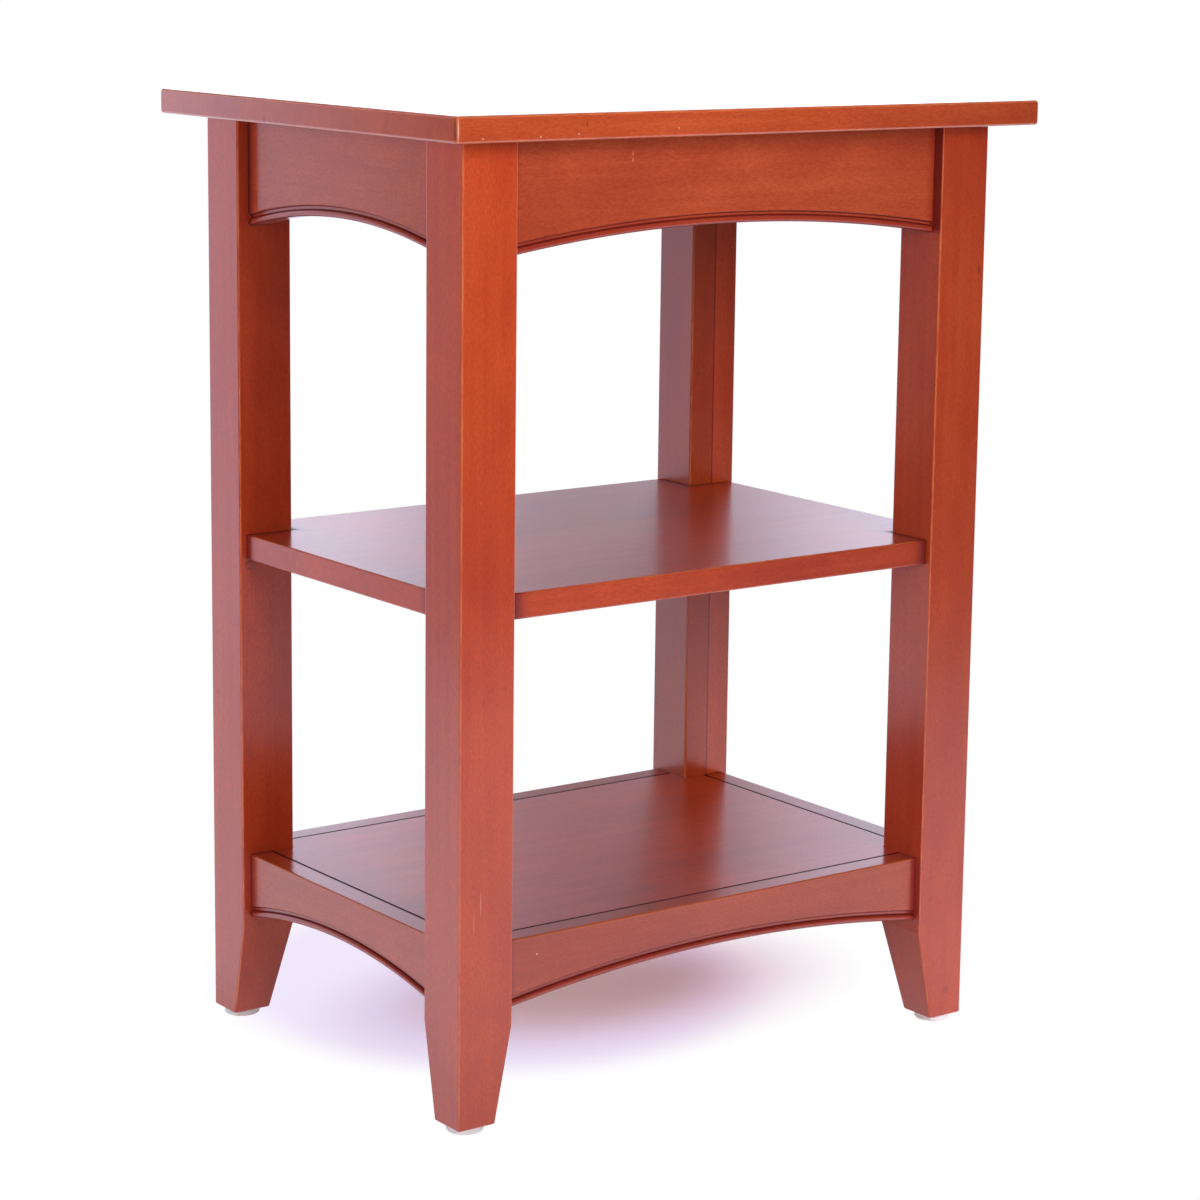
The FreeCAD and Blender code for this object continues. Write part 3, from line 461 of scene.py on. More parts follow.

# %% [markdown]
# ## Stain
# The red is a dye stain under clear lacquer. The group lays the masks over two colours: the pale one
# where the wood took little stain, the deep one where it took most. Flecks and pores are a little
# darker, and the eased edges a little more orange. Where dye gathers along joints, it dries to a deep
# red and then to nearly black. The mask called Hollow carries those joints, and also painted shade:
# in the grooves and round the beads, beside the legs, and on the strips of leg beside the boards.

# %% Stain
FLECK_TINT, PORE_RED = (0.72, 0.60, 0.57), (0.16, 0.02, 0.01)
HOLLOW_RED, HOLLOW_BLACK = (0.300, 0.022, 0.012), (0.045, 0.005, 0.004)
CLOUD_SHARE, BAND_SHARE, DRIFT_SHARE, FLECK_SHOWS, PORES_SHOW = 0.38, 0.20, 0.42, 0.65, 0.28
stain_group, come, out = new_group("cherry stain", {
    "Pale": ("Color", (0.55, 0.08, 0.02, 1.0)), "Deep": ("Color", (0.45, 0.05, 0.012, 1.0)),
    "Thin": ("Color", (0.60, 0.14, 0.045, 1.0)), "Edge": ("Float", 0.0), "Hollow": ("Float", 0.0),
    **{mask: ("Float", 0.5) for mask in MASKS}}, {"Color": ("Color", None), "Gloss Loss": ("Float", None)})
depth = total(times(come["Cloud"], CLOUD_SHARE),
              times(come["Band"], BAND_SHARE), times(come["Drift"], DRIFT_SHARE))
tone = blend(depth, come["Deep"], come["Pale"])
tone = blend(times(come["Fleck"], FLECK_SHOWS), tone, FLECK_TINT, "MULTIPLY")
tone = blend(times(come["Pores"], PORES_SHOW), tone, PORE_RED)
tone = blend(come["Edge"], tone, come["Thin"])
# Hollow: dark joint lines, and painted shade in grooves, round beads, beside legs and on leg strips
tone = blend(ramp(come["Hollow"], 0.0, 0.5, smooth=False), tone, HOLLOW_RED)
tone = blend(ramp(come["Hollow"], 0.5, 1.0, smooth=False), tone, HOLLOW_BLACK)
fill(out["Color"], tone)
fill(out["Gloss Loss"], total(times(come["Pores"], 0.10), times(come["Cloud"], 0.04)))
print("stain takes:", [socket.name for socket in come if socket.name])

# %% [markdown]
# ## Joints and marks
# Dye also creeps into every joint, and it dries there as a dark line a millimetre or more wide. A few
# groups find the joints from the place alone, and some of them also give painted shade. "near notch"
# is for a board that runs from leg to leg or a shelf that is let in round the legs: it takes how far
# the legs are from the middle, along and across, and draws the dark line along their faces, and a
# softer painted shade beside it, where the leg shades the board. "beside a board" is painted shade on
# the narrow strip of a leg that stands out past a board's face. "glue line" is for a leg made of two
# boards: it gives the thin line between them, tells which of the two a place lies in, and gives the
# painted shade on the back right leg, deepest on its inner board. The last one, "spot", is a soft dot
# for a pin knot, a speck or a drip of lacquer, and in a few places for painted highlight and painted shade.

# %% Joints and marks
LEG_IN, LEG_OUT, APRON_BACK, RAIL_BACK = (0.1835, 0.122), (0.227, 0.1655), 0.0085, 0.0065
APRON_LOW, RAIL_LOW, RAIL_TOP, SOFT = 0.594, 0.082, 0.1305, 0.004
GLUE_X, GLUE_Y, GLUE_LEAN, GLUE_LEAN_FROM, GLUE_HALF = 0.2054, -0.1372, 0.03, 0.40, 0.0006
ROUND = (1.0, 1.0, 1.0)

notch_group, come, out = new_group(
    "near notch", {"Place": ("Vector", None), "Half Length": ("Float", LEG_IN[0]),
                   "Half Depth": ("Float", LEG_IN[1]), "Width": ("Float", 0.0012)},
    {name: ("Float", None) for name in ("Line", "Border", "Shade")})
aside = split(vector_maths("ABSOLUTE", come["Place"]))
lines, shades = [], []
for axis, limit in ((0, come["Half Length"]), (1, come["Half Depth"])):
    inside = minus(limit, come["Width"])
    further = minus(limit, times(come["Width"], 5.0))
    lines.append(ramp(aside[axis], inside, limit))
    shades.append(ramp(aside[axis], further, limit))
fill(out["Shade"], maths("MINIMUM", *shades))
fill(out["Line"], maths("MINIMUM", *lines))
fill(out["Border"], maths("MAXIMUM", *lines))

# painted shade: the strip of a leg that stands out past a board's face is darkened, fully beside the front
# and back boards and a fifth as much beside the side boards
return_group, come, out = new_group("beside a board", {"Place": ("Vector", None)},
                                    {"Shade": ("Float", None)})
aside = split(vector_maths("ABSOLUTE", come["Place"]))
strips = []
for face, depth, strength in ((0, 1, 1.0), (1, 0, 0.2)):
    board_face, leg_face = LEG_OUT[depth] - APRON_BACK, LEG_OUT[depth]
    on_face = maths("LESS_THAN", aside[face], LEG_IN[face] + 0.001)
    starts = ramp(aside[depth], board_face - 0.002, board_face, 0.0, strength)
    ends = ramp(aside[depth], leg_face - 0.0012, leg_face - 0.0002, 1.0, 0.0)
    strips.append(times(on_face, starts, ends))
beside_apron = ramp(aside[2], APRON_LOW - SOFT, APRON_LOW + SOFT)
beside_rail = times(ramp(aside[2], RAIL_LOW - SOFT, RAIL_LOW + SOFT),
                    ramp(aside[2], RAIL_TOP - 0.001, RAIL_TOP + 0.002, 0.5, 0.0))
fill(out["Shade"], times(maths("MAXIMUM", *strips), maths("MAXIMUM", beside_apron, beside_rail)))

glue_group, come, out = new_group(
    "glue line", {"Place": ("Vector", None)},
    {name: ("Float", None) for name in ("Line", "Second", "Back Leg Shade")})
here = split(come["Place"])
right = maths("GREATER_THAN", here[0], 0.0)
back = maths("GREATER_THAN", here[1], 0.0)
front = minus(1.0, back)
leaning = times(minus(here[2], GLUE_LEAN_FROM), GLUE_LEAN)
gap_in_front = total(minus(GLUE_Y, here[1]), leaning)
gap = total(times(back, minus(here[0], GLUE_X)), times(front, gap_in_front))
line = ramp(maths("ABSOLUTE", gap), 0.0002, 0.0009, 1.0, 0.0)
second = ramp(gap, -GLUE_HALF, GLUE_HALF)
# painted shade on the back right leg: full on its inner board, 0.35 on its outer one
back_leg_shade = ramp(gap, -GLUE_HALF, GLUE_HALF, 1.0, 0.35)
fill(out["Line"], times(line, right, back))
fill(out["Second"], times(second, right))
fill(out["Back Leg Shade"], times(right, back, back_leg_shade))

spot_group, come, out = new_group("spot", {
    "Place": ("Vector", None), "Middle": ("Vector", None), "Shape": ("Vector", ROUND),
    "Radius": ("Float", 0.001)}, {"Spot": ("Float", None)})
reach = off_middle(come["Place"], come["Middle"], come["Shape"])
heart = times(come["Radius"], 0.35)
fill(out["Spot"], ramp(reach, heart, come["Radius"], 1.0, 0.0))
print("groups:", [made.name for made in (notch_group, return_group, glue_group, spot_group)])

# %% [markdown]
# ## Lacquered cherry
# Each slot of the frame gets its own lacquered cherry: the same groups with other colours and
# another grain direction. The clear lacquer is the shader's coat, and the wood under it keeps a wider
# sheen of its own. Dye that dries thick in a joint drinks the lacquer, so there the coat is lost, and
# the coat is also taken off where painted shade is deep, beside a leg or in a groove. A
# Bump node lets the fibres and pores ripple the surface by a few hundredths of a millimetre.

# %% Lacquered cherry
GRAIN_TURNS = {"x": (0.0, 0.0, 0.0), "y": (0.0, 0.0, math.radians(-90)), "z": (0.0, math.radians(90), 0.0)}
SECOND_BOARD, BACK_LEG_SHADE = (0.30, 0.10, 0.05), (0.66, 0.72, 0.80)
EDGE_SHOWS, RIM_SHOWS, SECOND_SHOWS, COAT_LOST = 0.9, 0.35, 0.10, (0.55, 0.95)
BORDER_DARK, NOTCH_DARK, GLUE_DARK, BESIDE_DARK = 0.95, 0.9, 0.65, 0.75


def group(made, inputs):
    """Places a node group and returns its outputs."""
    return node("ShaderNodeGroup", inputs, node_tree=made).outputs


def joint(place, half_length, half_depth, width):
    """The dark line along a joint and the painted shade beside it, so wide and so far from the middle."""
    return group(notch_group, {"Place": place, "Half Length": half_length,
                               "Half Depth": half_depth, "Width": width})


def lacquered_cherry(name, along, colours, thin=(0.62, 0.15, 0.045), roughness=0.42, coat_roughness=0.20,
                     edges=True, hollows=False, notch=None, shade=0.3, border=None, glued=False, spots=()):
    """One finish. A notch or a border is (half length, half depth, width), and a spot is
    (middle, shape, radius, colour, strength)."""
    shader, place = new_finish(name)
    turned = node("ShaderNodeMapping", {"Vector": place, "Rotation": GRAIN_TURNS[along]}).outputs[0]
    wood = group(figure_group, {"Place": turned})
    pale, deep = colours
    edge, dark = 0.0, [0.0]
    if hollows:
        # hollow: dark joint lines and painted shade, drawn into a board's section
        hollow, rim = (node("ShaderNodeAttribute", attribute_name=note).outputs["Fac"]
                       for note in ("hollow", "rim"))
        dark.append(hollow)
        edge = times(rim, RIM_SHOWS)
    elif edges:
        edge = times(group(edge_group, {"Place": place})["Edge"], EDGE_SHOWS)
    if border:
        dark.append(times(joint(place, *border)["Border"], BORDER_DARK))
    if notch:
        near = joint(place, *notch)
        dark.append(times(near["Line"], NOTCH_DARK))
        # painted shade beside the legs, as strong as shade says
        dark.append(times(near["Shade"], shade))
    if glued:
        glue = group(glue_group, {"Place": place})
        # painted shade on the leg's strips beside the boards
        beside = group(return_group, {"Place": place})["Shade"]
        dark.append(times(glue["Line"], GLUE_DARK))
        dark.append(times(beside, BESIDE_DARK))
        pale = blend(times(glue["Second"], SECOND_SHOWS), pale, SECOND_BOARD)
    hollow = maths("MAXIMUM", *dark)
    stain = group(stain_group, {"Pale": pale, "Deep": deep, "Thin": thin, "Edge": edge,
                                "Hollow": hollow, **{mask: wood[mask] for mask in MASKS}})
    tone = stain["Color"]
    if glued:
        # painted shade: the back right leg is darkened, most on its inner board
        tone = blend(glue["Back Leg Shade"], tone, BACK_LEG_SHADE, "MULTIPLY")
    for middle, shape, radius, colour, strength in spots:
        dot = group(spot_group, {"Place": place, "Middle": middle, "Shape": shape,
                                 "Radius": radius})["Spot"]
        tone = blend(times(dot, strength), tone, colour)
    dull, coat = stain["Gloss Loss"], 1.0
    # the coat is lost where Hollow is high: in dark joints and in deep painted shade
    if border or notch:
        bare = ramp(hollow, *COAT_LOST)
        dull = total(dull, times(bare, 0.5))
        coat = minus(1.0, bare)
    fill_all(shader, {
        "Base Color": tone, "Roughness": total(dull, roughness), "Coat Weight": coat,
        "Coat Roughness": coat_roughness, "Normal": ripple(wood["Relief"], 0.3, 0.0001)})


# %% [markdown]
# The colours come in pairs, the pale one first. The spots are placed in metres, in the table's own
# measures: drips of lacquer and specks on the top's front edge, a crack at its left end, a painted
# highlight on its near corner with a painted dark reflection beside it, specks on the front right
# leg, drips on the front left one, and painted shade round the pins under the middle shelf.

# %% Nine cherry finishes
RED = ((0.655, 0.086, 0.017), (0.465, 0.041, 0.010))
TOP_RED = ((0.655, 0.112, 0.031), (0.460, 0.055, 0.019))
APRON_RED = ((0.595, 0.101, 0.032), (0.385, 0.046, 0.019))
RAIL_RED = ((0.515, 0.074, 0.015), (0.350, 0.035, 0.010))
SHELF_RED = ((0.630, 0.080, 0.017), (0.400, 0.034, 0.010))
DRIP, PAINTED_CORNER_HIGHLIGHT = (0.86, 0.42, 0.30), (0.92, 0.66, 0.52)
SPECK, PIN_SHADE = (0.10, 0.012, 0.010), (0.16, 0.028, 0.018)
TOP_FRONT, TOP_LEFT, LEG_FRONT = -0.193, -0.250, -LEG_OUT[1]

TOP_SPOTS = [((x * MM, TOP_FRONT, z * MM), ROUND, 0.0009, DRIP, 0.75)
             for x, z in ((-230.2, 674.0), (-185.5, 674.1), (-155.6, 675.2), (-74.6, 677.0))]
TOP_SPOTS += [((-0.1490, TOP_FRONT, 0.6815), (1.0, 1.0, 0.6), 0.0012, SPECK, 0.5),
              ((TOP_LEFT, 0.0451, 0.6730), (1.0, 1.0, 0.22), 0.0011, SPECK, 0.95),
              # painted on the top's near corner: a dark band where the corner mirrors nothing bright, then a
              # pale highlight line
              ((TOP_LEFT, -0.1912, 0.6797), (1.0, 1.0, 0.14), 0.0017, SPECK, 0.6),
              ((-0.2488, -0.1927, 0.6797), (1.0, 1.0, 0.06), 0.0006, PAINTED_CORNER_HIGHLIGHT, 0.7)]
LEG_SPOTS = [((0.2217, LEG_FRONT, 0.566), (1.0, 1.0, 0.45), 0.0018, SPECK, 0.55),
             ((0.2113, LEG_FRONT, 0.0249), (0.8, 1.0, 0.6), 0.0026, SPECK, 0.35),
             ((0.2135, LEG_FRONT, 0.0275), (1.0, 1.0, 0.8), 0.0016, SPECK, 0.30),
             ((-0.2100, LEG_FRONT, 0.162), (1.0, 1.0, 0.06), 0.0006, DRIP, 0.35),
             ((-0.2155, LEG_FRONT, 0.150), (1.0, 1.0, 0.05), 0.0005, DRIP, 0.25)]
# painted shade: a dark ring round each pin under the middle shelf
LEG_SPOTS += [((x * 0.220, y * LEG_IN[1], 0.348), (1.0, 0.4, 1.0), 0.0044, PIN_SHADE, 0.9)
              for x in (-1, 1) for y in (-1, 1)]
APRON_SPOTS = [((-0.0852, LEG_FRONT + APRON_BACK, z * MM), (1.0, 1.0, 0.35), 0.0007, DRIP, 0.45)
               for z in (654.2, 658.3)]
RAIL_SPOTS = [((-0.159, LEG_FRONT + RAIL_BACK, 0.117), ROUND, 0.001, DRIP, 0.8)]
PANEL_END, PANEL_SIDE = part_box("bottom_panel")[1][:2]

lacquered_cherry("top_wood", "x", TOP_RED, thin=(0.66, 0.17, 0.06), roughness=0.3, coat_roughness=0.12,
                 spots=TOP_SPOTS)
lacquered_cherry("leg_wood", "z", RED, glued=True, spots=LEG_SPOTS)
# the fifth column, shade, is how strong the painted shade beside the legs is on each board
for name, along, colours, notch, shade, spots in (
        ("apron_wood", "x", APRON_RED, (LEG_IN[0], 0.0, 0.0018), 0.3, APRON_SPOTS),
        ("side_apron_wood", "y", APRON_RED, (0.0, LEG_IN[1], 0.0020), 0.95, ()),
        ("rail_wood", "x", RAIL_RED, (LEG_IN[0], 0.0, 0.0018), 0.6, RAIL_SPOTS),
        ("side_rail_wood", "y", RAIL_RED, (0.0, LEG_IN[1], 0.0018), 0.8, ())):
    lacquered_cherry(name, along, colours, hollows=True, notch=notch, shade=shade, spots=spots)
# the shelf gets strong painted shade next to the legs
lacquered_cherry("shelf_wood", "x", SHELF_RED, coat_roughness=0.22, notch=(*LEG_IN, 0.0032), shade=0.8)
lacquered_cherry("panel_wood", "x", SHELF_RED, coat_roughness=0.22, edges=False,
                 border=(PANEL_END, PANEL_SIDE, 0.0016))
lacquered_cherry("pin_wood", "z", RED, edges=False)
print("lacquered:", [name for name in FINISHES if name.endswith("wood")])

# %% [markdown]
# ## Plain woods
# What the lacquer doesn't reach is plain: corner blocks and cleats of thinly stained softwood, with
# its clear bands of early and late growth, and dowels of bare beech, pale with short flecks.

# %% Plain woods
SOFTWOOD = ((0.44, 0.19, 0.085), (0.27, 0.085, 0.035))
BEECH = ((0.60, 0.39, 0.22), (0.44, 0.26, 0.13))


def plain_wood(name, pale, deep, bands, fleck):
    """Bare or thinly stained wood with its grain along X."""
    shader, place = new_finish(name)
    wood = group(figure_group, {"Place": place, "Cloud Size": bands})
    edge = group(edge_group, {"Place": place})["Edge"]
    tone = blend(wood["Band"], deep, pale)
    tone = blend(times(wood["Pores"], fleck), tone, deep)
    tone = blend(times(edge, 0.4), tone, pale)
    fill_all(shader, {
        "Base Color": tone, "Roughness": ramp(wood["Fleck"], 0.0, 1.0, 0.55, 0.75),
        "Normal": ripple(wood["Relief"], 0.5, 0.0003)})


plain_wood("cleat_wood", *SOFTWOOD, 2.6, 0.2)
plain_wood("block_wood", *SOFTWOOD, 2.6, 0.2)
plain_wood("dowel_wood", *BEECH, 1.6, 0.7)
print("woods:", len([name for name in FINISHES if name.endswith("wood")]))

# %% [markdown]
# ## Steel and nylon
# The screws are zinc plated: a bright skin with a faint yellow and blue bloom and fine turning
# marks. The nails are bare bright steel. The glides are natural nylon, milky and a bit grey, with
# scuffs where they slide.

# %% Steel
def fastener_steel(name, bright, bloom, roughness):
    """Bright metal with a bloom in soft clouds and fine marks in its gloss."""
    shader, place = new_finish(name)
    cloud = ramp(noise(place, 350.0, 3.0), 0.35, 0.65)
    marks = noise(place, 3000.0)
    fill_all(shader, {
        "Base Color": blend(cloud, bright, bloom), "Metallic": 1.0,
        "Roughness": ramp(marks, 0.3, 0.7, roughness, roughness + 0.18),
        "Normal": ripple(marks, 0.3, 0.00004)})


fastener_steel("screw_steel", (0.66, 0.60, 0.42), (0.56, 0.58, 0.56), 0.24)
fastener_steel("nail_steel", (0.58, 0.58, 0.60), (0.46, 0.46, 0.48), 0.30)

# %% Nylon
shader, place = new_finish("glide_plastic")
haze = ramp(noise(place, 160.0, 3.0), 0.3, 0.7)
scuffs = noise(place, 1400.0, 3.0, distortion=1.5)
fill_all(shader, {
    "Base Color": blend(haze, (0.93, 0.88, 0.89), (0.96, 0.92, 0.94)),
    "Roughness": ramp(scuffs, 0.4, 0.7, 0.38, 0.60), "Normal": ripple(scuffs, 0.3, 0.00005),
    "Subsurface Weight": 0.25, "Subsurface Scale": 0.002})
print("finishes with those of the stage:", len(FINISHES))

# %% [markdown]
# ## Finish the frame
# The frame's record says which slot each node takes its finish from, so a short loop can
# dress every node. The nodes' meshes stay as they came.

# %% Finish the frame
slot_of = {row["node"]: row["material_slot"] for row in frame["record"]["subparts"]}
for name, piece in frame["nodes"].items():
    if not piece.material_slots:
        piece.data.materials.append(None)
    for place_for_finish in piece.material_slots:
        place_for_finish.material = FINISHES[slot_of[name]]
print("finished", len(frame["nodes"]), "nodes with", len(set(slot_of.values())), "finishes")

# %% [markdown]
# ## Beaded boards
# Eight boards tie the legs together, four under the top and four near the floor. Each is cut to a
# shallow arch, and a cutter has followed the arch and left a bead and a groove along it. That is a rule,
# not eight shapes: one section, swept along the board, of which the lower part rises with the arch
# and the top stays straight. Geometry Nodes can sweep and lift it, so one tree makes all eight. The
# section is drawn first, as a loop of points, each with three notes: whether it follows the arch, how
# dark it is made there, by a dark joint line at the top and by painted shade in the groove and round
# the bead, and whether it lies on the eased rim at the top.

# %% Section of a beaded board
BEAD_WIDTH, BEAD_ROUND = 4.6 * MM, 2.1 * MM
GROOVE_WIDTH, GROOVE_DEPTH, GROOVE_ROUND = 3.0 * MM, 2.3 * MM, 0.5 * MM
TOP_ROUND, ARCH_BEVEL, DARK_LINE = 0.8 * MM, 0.7 * MM, 1.3 * MM
# CORNER_DARK and FLOOR_DARK are painted shade in the groove; BEAD_DARK makes the bead a deeper red
CORNER_DARK, FLOOR_DARK, BEAD_DARK = 0.80, 0.15, 0.30
BEAD_TOP_REACH, BEAD_FOOT_REACH = 0.6 * MM, 1.2 * MM


def arc(centre_out, centre_up, radius, first, last, steps=8):
    """Points on an arc, in degrees from straight out."""
    turns = (math.radians(first + (last - first) * i / steps) for i in range(steps + 1))
    return [(centre_out + radius * math.cos(t), centre_up + radius * math.sin(t)) for t in turns]


def board_section(name, height, thickness):
    """The section as a loop of points: out from the face, up from the lower edge, follows, hollow, rim."""
    loop = [(-thickness, height, 0, 1.0, 0), (-thickness + DARK_LINE, height, 0, 0.6, 0),
            (-thickness + 2 * DARK_LINE, height, 0, 0, 0), (-TOP_ROUND - DARK_LINE, height, 0, 0, 0)]
    loop += [(*p, 0, 0, 1.0) for p in arc(-TOP_ROUND, height - TOP_ROUND, TOP_ROUND, 90, 0, 4)]
    loop.append((0, height - TOP_ROUND - DARK_LINE, 0, 0, 0))
    band = BEAD_WIDTH + GROOVE_WIDTH
    loop += [(0, band + ARCH_BEVEL, 1, 0.0, 0), (-ARCH_BEVEL * 0.8, band + ARCH_BEVEL * 0.2, 1, 0.0, 0),
             (-ARCH_BEVEL * 1.1, band, 1, 0.5, 0)]
    in_groove = -GROOVE_DEPTH + GROOVE_ROUND
    # painted shade: the groove's corners and the face's edge above it are darkened where shade falls in the
    # groove
    loop += [(*p, 1, CORNER_DARK, 0)
             for p in arc(in_groove, band - GROOVE_ROUND, GROOVE_ROUND, 90, 180, 3)]
    loop += [(-GROOVE_DEPTH, BEAD_WIDTH + GROOVE_WIDTH * share, 1, FLOOR_DARK, 0) for share in (0.62, 0.38)]
    loop += [(*p, 1, CORNER_DARK, 0)
             for p in arc(in_groove, BEAD_WIDTH + GROOVE_ROUND, GROOVE_ROUND, 180, 270, 3)]
    # painted shade: the bead darkens next to the groove
    for out, up in arc(-BEAD_ROUND, BEAD_WIDTH - BEAD_ROUND, BEAD_ROUND, 90, 0, 10):
        near_groove = max(0.0, (up - BEAD_WIDTH + BEAD_TOP_REACH) / BEAD_TOP_REACH)
        loop.append((out, up, 1, BEAD_DARK + near_groove * 0.5, 0))
    # painted shade: the bead darkens on its lower round, which faces down, and just under it
    for out, up in arc(-BEAD_ROUND, BEAD_ROUND, BEAD_ROUND, 0, -90, 10):
        near_foot = max(0.0, 1 - up / BEAD_FOOT_REACH)
        loop.append((out, up, 1, BEAD_DARK + near_foot * 0.6, 0))
    loop += [(-BEAD_ROUND - 1.2 * MM, 0, 1, 0.2, 0), (-BEAD_ROUND - 3.0 * MM, 0, 1, 0.0, 0),
             (-thickness + ARCH_BEVEL, 0, 1, 0.0, 0), (-thickness, ARCH_BEVEL, 1, 0.0, 0),
             (-thickness, height - DARK_LINE, 0, 0.4, 0)]
    mesh = bpy.data.meshes.new(name)
    count = len(loop)
    mesh.from_pydata([(p[0], -p[1], 0.0) for p in loop], [(i, (i + 1) % count) for i in range(count)], [])
    for note, column in (("follows", 2), ("hollow", 3), ("rim", 4)):
        values = mesh.attributes.new(note, "FLOAT", "POINT")
        for i, point in enumerate(loop):
            values.data[i].value = point[column]
    return bpy.data.objects.new(name, mesh)


apron_section = board_section("apron_section", 77.0 * MM, 18.0 * MM)
rail_section = board_section("rail_section", 48.5 * MM, 17.5 * MM)
print("section points:", len(apron_section.data.vertices))

# %% [markdown]
# The tree draws a straight line as long as the board, cuts it into steps, and sweeps the section along
# it with closed ends. For an arch of half span s and rise r, the radius is (s² + r²) / 2r. Each
# point that follows the arch keeps its own distance from the edge, so it lies on a circle with the
# same centre and a larger radius. The last nodes carry the board to its side of the table.

# %% Tree of the beaded board
board_tree, come, out = new_group("beaded board", {
    "Section": ("Object", None), "Length": ("Float", 0.367), "Rise": ("Float", 0.0145), "Steps": ("Int", 97),
    "Place": ("Vector", None), "Turn": ("Rotation", None), "Finish": ("Material", None)},
                                  {"Board": ("Geometry", None)}, "GeometryNodeTree")
half, rise = times(come["Length"], 0.5), come["Rise"]
start = node("ShaderNodeCombineXYZ", {"X": times(half, -1.0)}).outputs[0]
end = node("ShaderNodeCombineXYZ", {"X": half}).outputs[0]
line = node("GeometryNodeCurvePrimitiveLine", {"Start": start, "End": end}).outputs[0]
line = node("GeometryNodeResampleCurve", {"Curve": line, "Count": come["Steps"]}).outputs[0]
line = node("GeometryNodeSetCurveNormal", {"Curve": line}, mode="Z_UP").outputs[0]
loop = node("GeometryNodeObjectInfo", {"Object": come["Section"]}).outputs["Geometry"]
loop = node("GeometryNodeMeshToCurve", {"Mesh": loop}).outputs[0]
bar = node("GeometryNodeCurveToMesh", {"Curve": line, "Profile Curve": loop,
                                       "Fill Caps": True}).outputs[0]

squares = total(times(half, half), times(rise, rise))
radius = maths("DIVIDE", squares, times(rise, 2.0))
spot = split(node("GeometryNodeInputPosition").outputs[0])
reach = total(radius, spot[2])
across = minus(times(reach, reach), times(spot[0], spot[0]))
arched = total(maths("SQRT", across), minus(rise, radius))
follows = node("GeometryNodeInputNamedAttribute", {"Name": "follows"}, data_type="FLOAT")
lift = times(minus(arched, spot[2]), in_use(follows.outputs))
offset = node("ShaderNodeCombineXYZ", {"Z": lift}).outputs[0]
bar = node("GeometryNodeSetPosition", {"Geometry": bar, "Offset": offset}).outputs[0]
bar = node("GeometryNodeTransform", {"Geometry": bar, "Translation": come["Place"],
                                     "Rotation": come["Turn"]}).outputs[0]
bar = node("GeometryNodeRealizeInstances", {"Geometry": bar}).outputs[0]
bar = node("GeometryNodeSetMaterial", {"Geometry": bar, "Material": come["Finish"]}).outputs[0]
fill(out["Board"], bar)
print("tree of", len(board_tree.nodes), "nodes")

# %% [markdown]
# A modifier's inputs are set by their identifiers before Blender first looks at the tree. The
# result is then copied to a plain mesh and the modifier is taken off, because the frame only takes
# plain meshes. Edges under 30 degrees are smoothed, so the bead shines as one round.

# %% Make the eight boards
def make_from_tree(name, tree, settings):
    """Runs a tree once and returns the result as an object with a plain mesh."""
    piece = add_object(name, bpy.data.meshes.new(name))
    modifier = piece.modifiers.new("tree", "NODES")
    modifier.node_group = tree
    for item in tree.interface.items_tree:
        if item.in_out == "INPUT" and item.name in settings:
            modifier[item.identifier] = settings[item.name]
    depsgraph = bpy.context.evaluated_depsgraph_get()
    evaluated = piece.evaluated_get(depsgraph)
    result = bpy.data.meshes.new_from_object(evaluated, preserve_all_data_layers=True, depsgraph=depsgraph)
    piece.modifiers.clear()
    piece.data = result
    result.name = name
    return piece


def smooth_under(piece, degrees):
    """Smooths every edge that bends by less than so many degrees."""
    piece.data.shade_smooth()
    piece.data.set_sharp_from_angle(angle=math.radians(degrees))


BOARD_TURNS = {"front": 0, "right": 90, "back": 180, "left": 270}
ARCH_RISE, LONG_STEPS, SHORT_STEPS = 14.5 * MM, 97, 65
for kind, section in (("apron", apron_section), ("rail", rail_section)):
    for side, degrees in BOARD_TURNS.items():
        low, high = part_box(f"{kind}_{side}")
        is_long = side in ("front", "back")
        finish = f"{kind}_wood" if is_long else f"side_{kind}_wood"
        along, depth = (0, 1) if is_long else (1, 0)
        length = high[along] - low[along]
        face = max(abs(low[depth]), abs(high[depth]))
        turn = math.radians(degrees)
        board = make_from_tree(f"{kind}_{side}_board", board_tree, {
            "Section": section, "Length": length, "Rise": ARCH_RISE,
            "Steps": LONG_STEPS if is_long else SHORT_STEPS,
            "Place": (math.sin(turn) * face, -math.cos(turn) * face, low[2]),
            "Turn": (0.0, 0.0, turn), "Finish": FINISHES[finish]})
        smooth_under(board, 30)
        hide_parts(f"{kind}_{side}")
        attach(board, "root")
        print(board.name, "is", round(length / MM, 1), "mm long,", len(board.data.polygons), "faces")


# %% [markdown]
# ## Screws
# Thirty screws hold the table together: pan heads through the corner blocks, sunk heads everywhere
# else. On a real one a thread is rolled on to a wire, a head is punched up and a cross is struck into
# it. Here one mesh is drawn for each kind. Rings of points run down the shank, and the radius of a point
# depends on how far it lies along the thread's turn, so the thread is one closed skin with the rest.

# %% Draw one screw
SHANK, CORE, PITCH, POINT = 1.78 * MM, 1.25 * MM, 1.8 * MM, 3.0 * MM
HEAD, PAN_HEIGHT, ARM, HALF, STRUCK = 3.66 * MM, 2.4 * MM, 1.8 * MM, 0.45 * MM, 1.3 * MM
AROUND, ROWS_PER_TURN, CREST_SHARPNESS = 24, 6, 3.4
PAN_CURVE, PAN_ROUND, PLAIN_SHANK = (52, 38, 24, 10, 0), 1.5 * MM, 1.0 * MM


def join_loops(bm, first, second):
    """Lays a band of faces between two closed loops of points."""
    for i in range(len(first)):
        j = (i + 1) % len(first)
        bm.faces.new((first[i], first[j], second[j], second[i]))


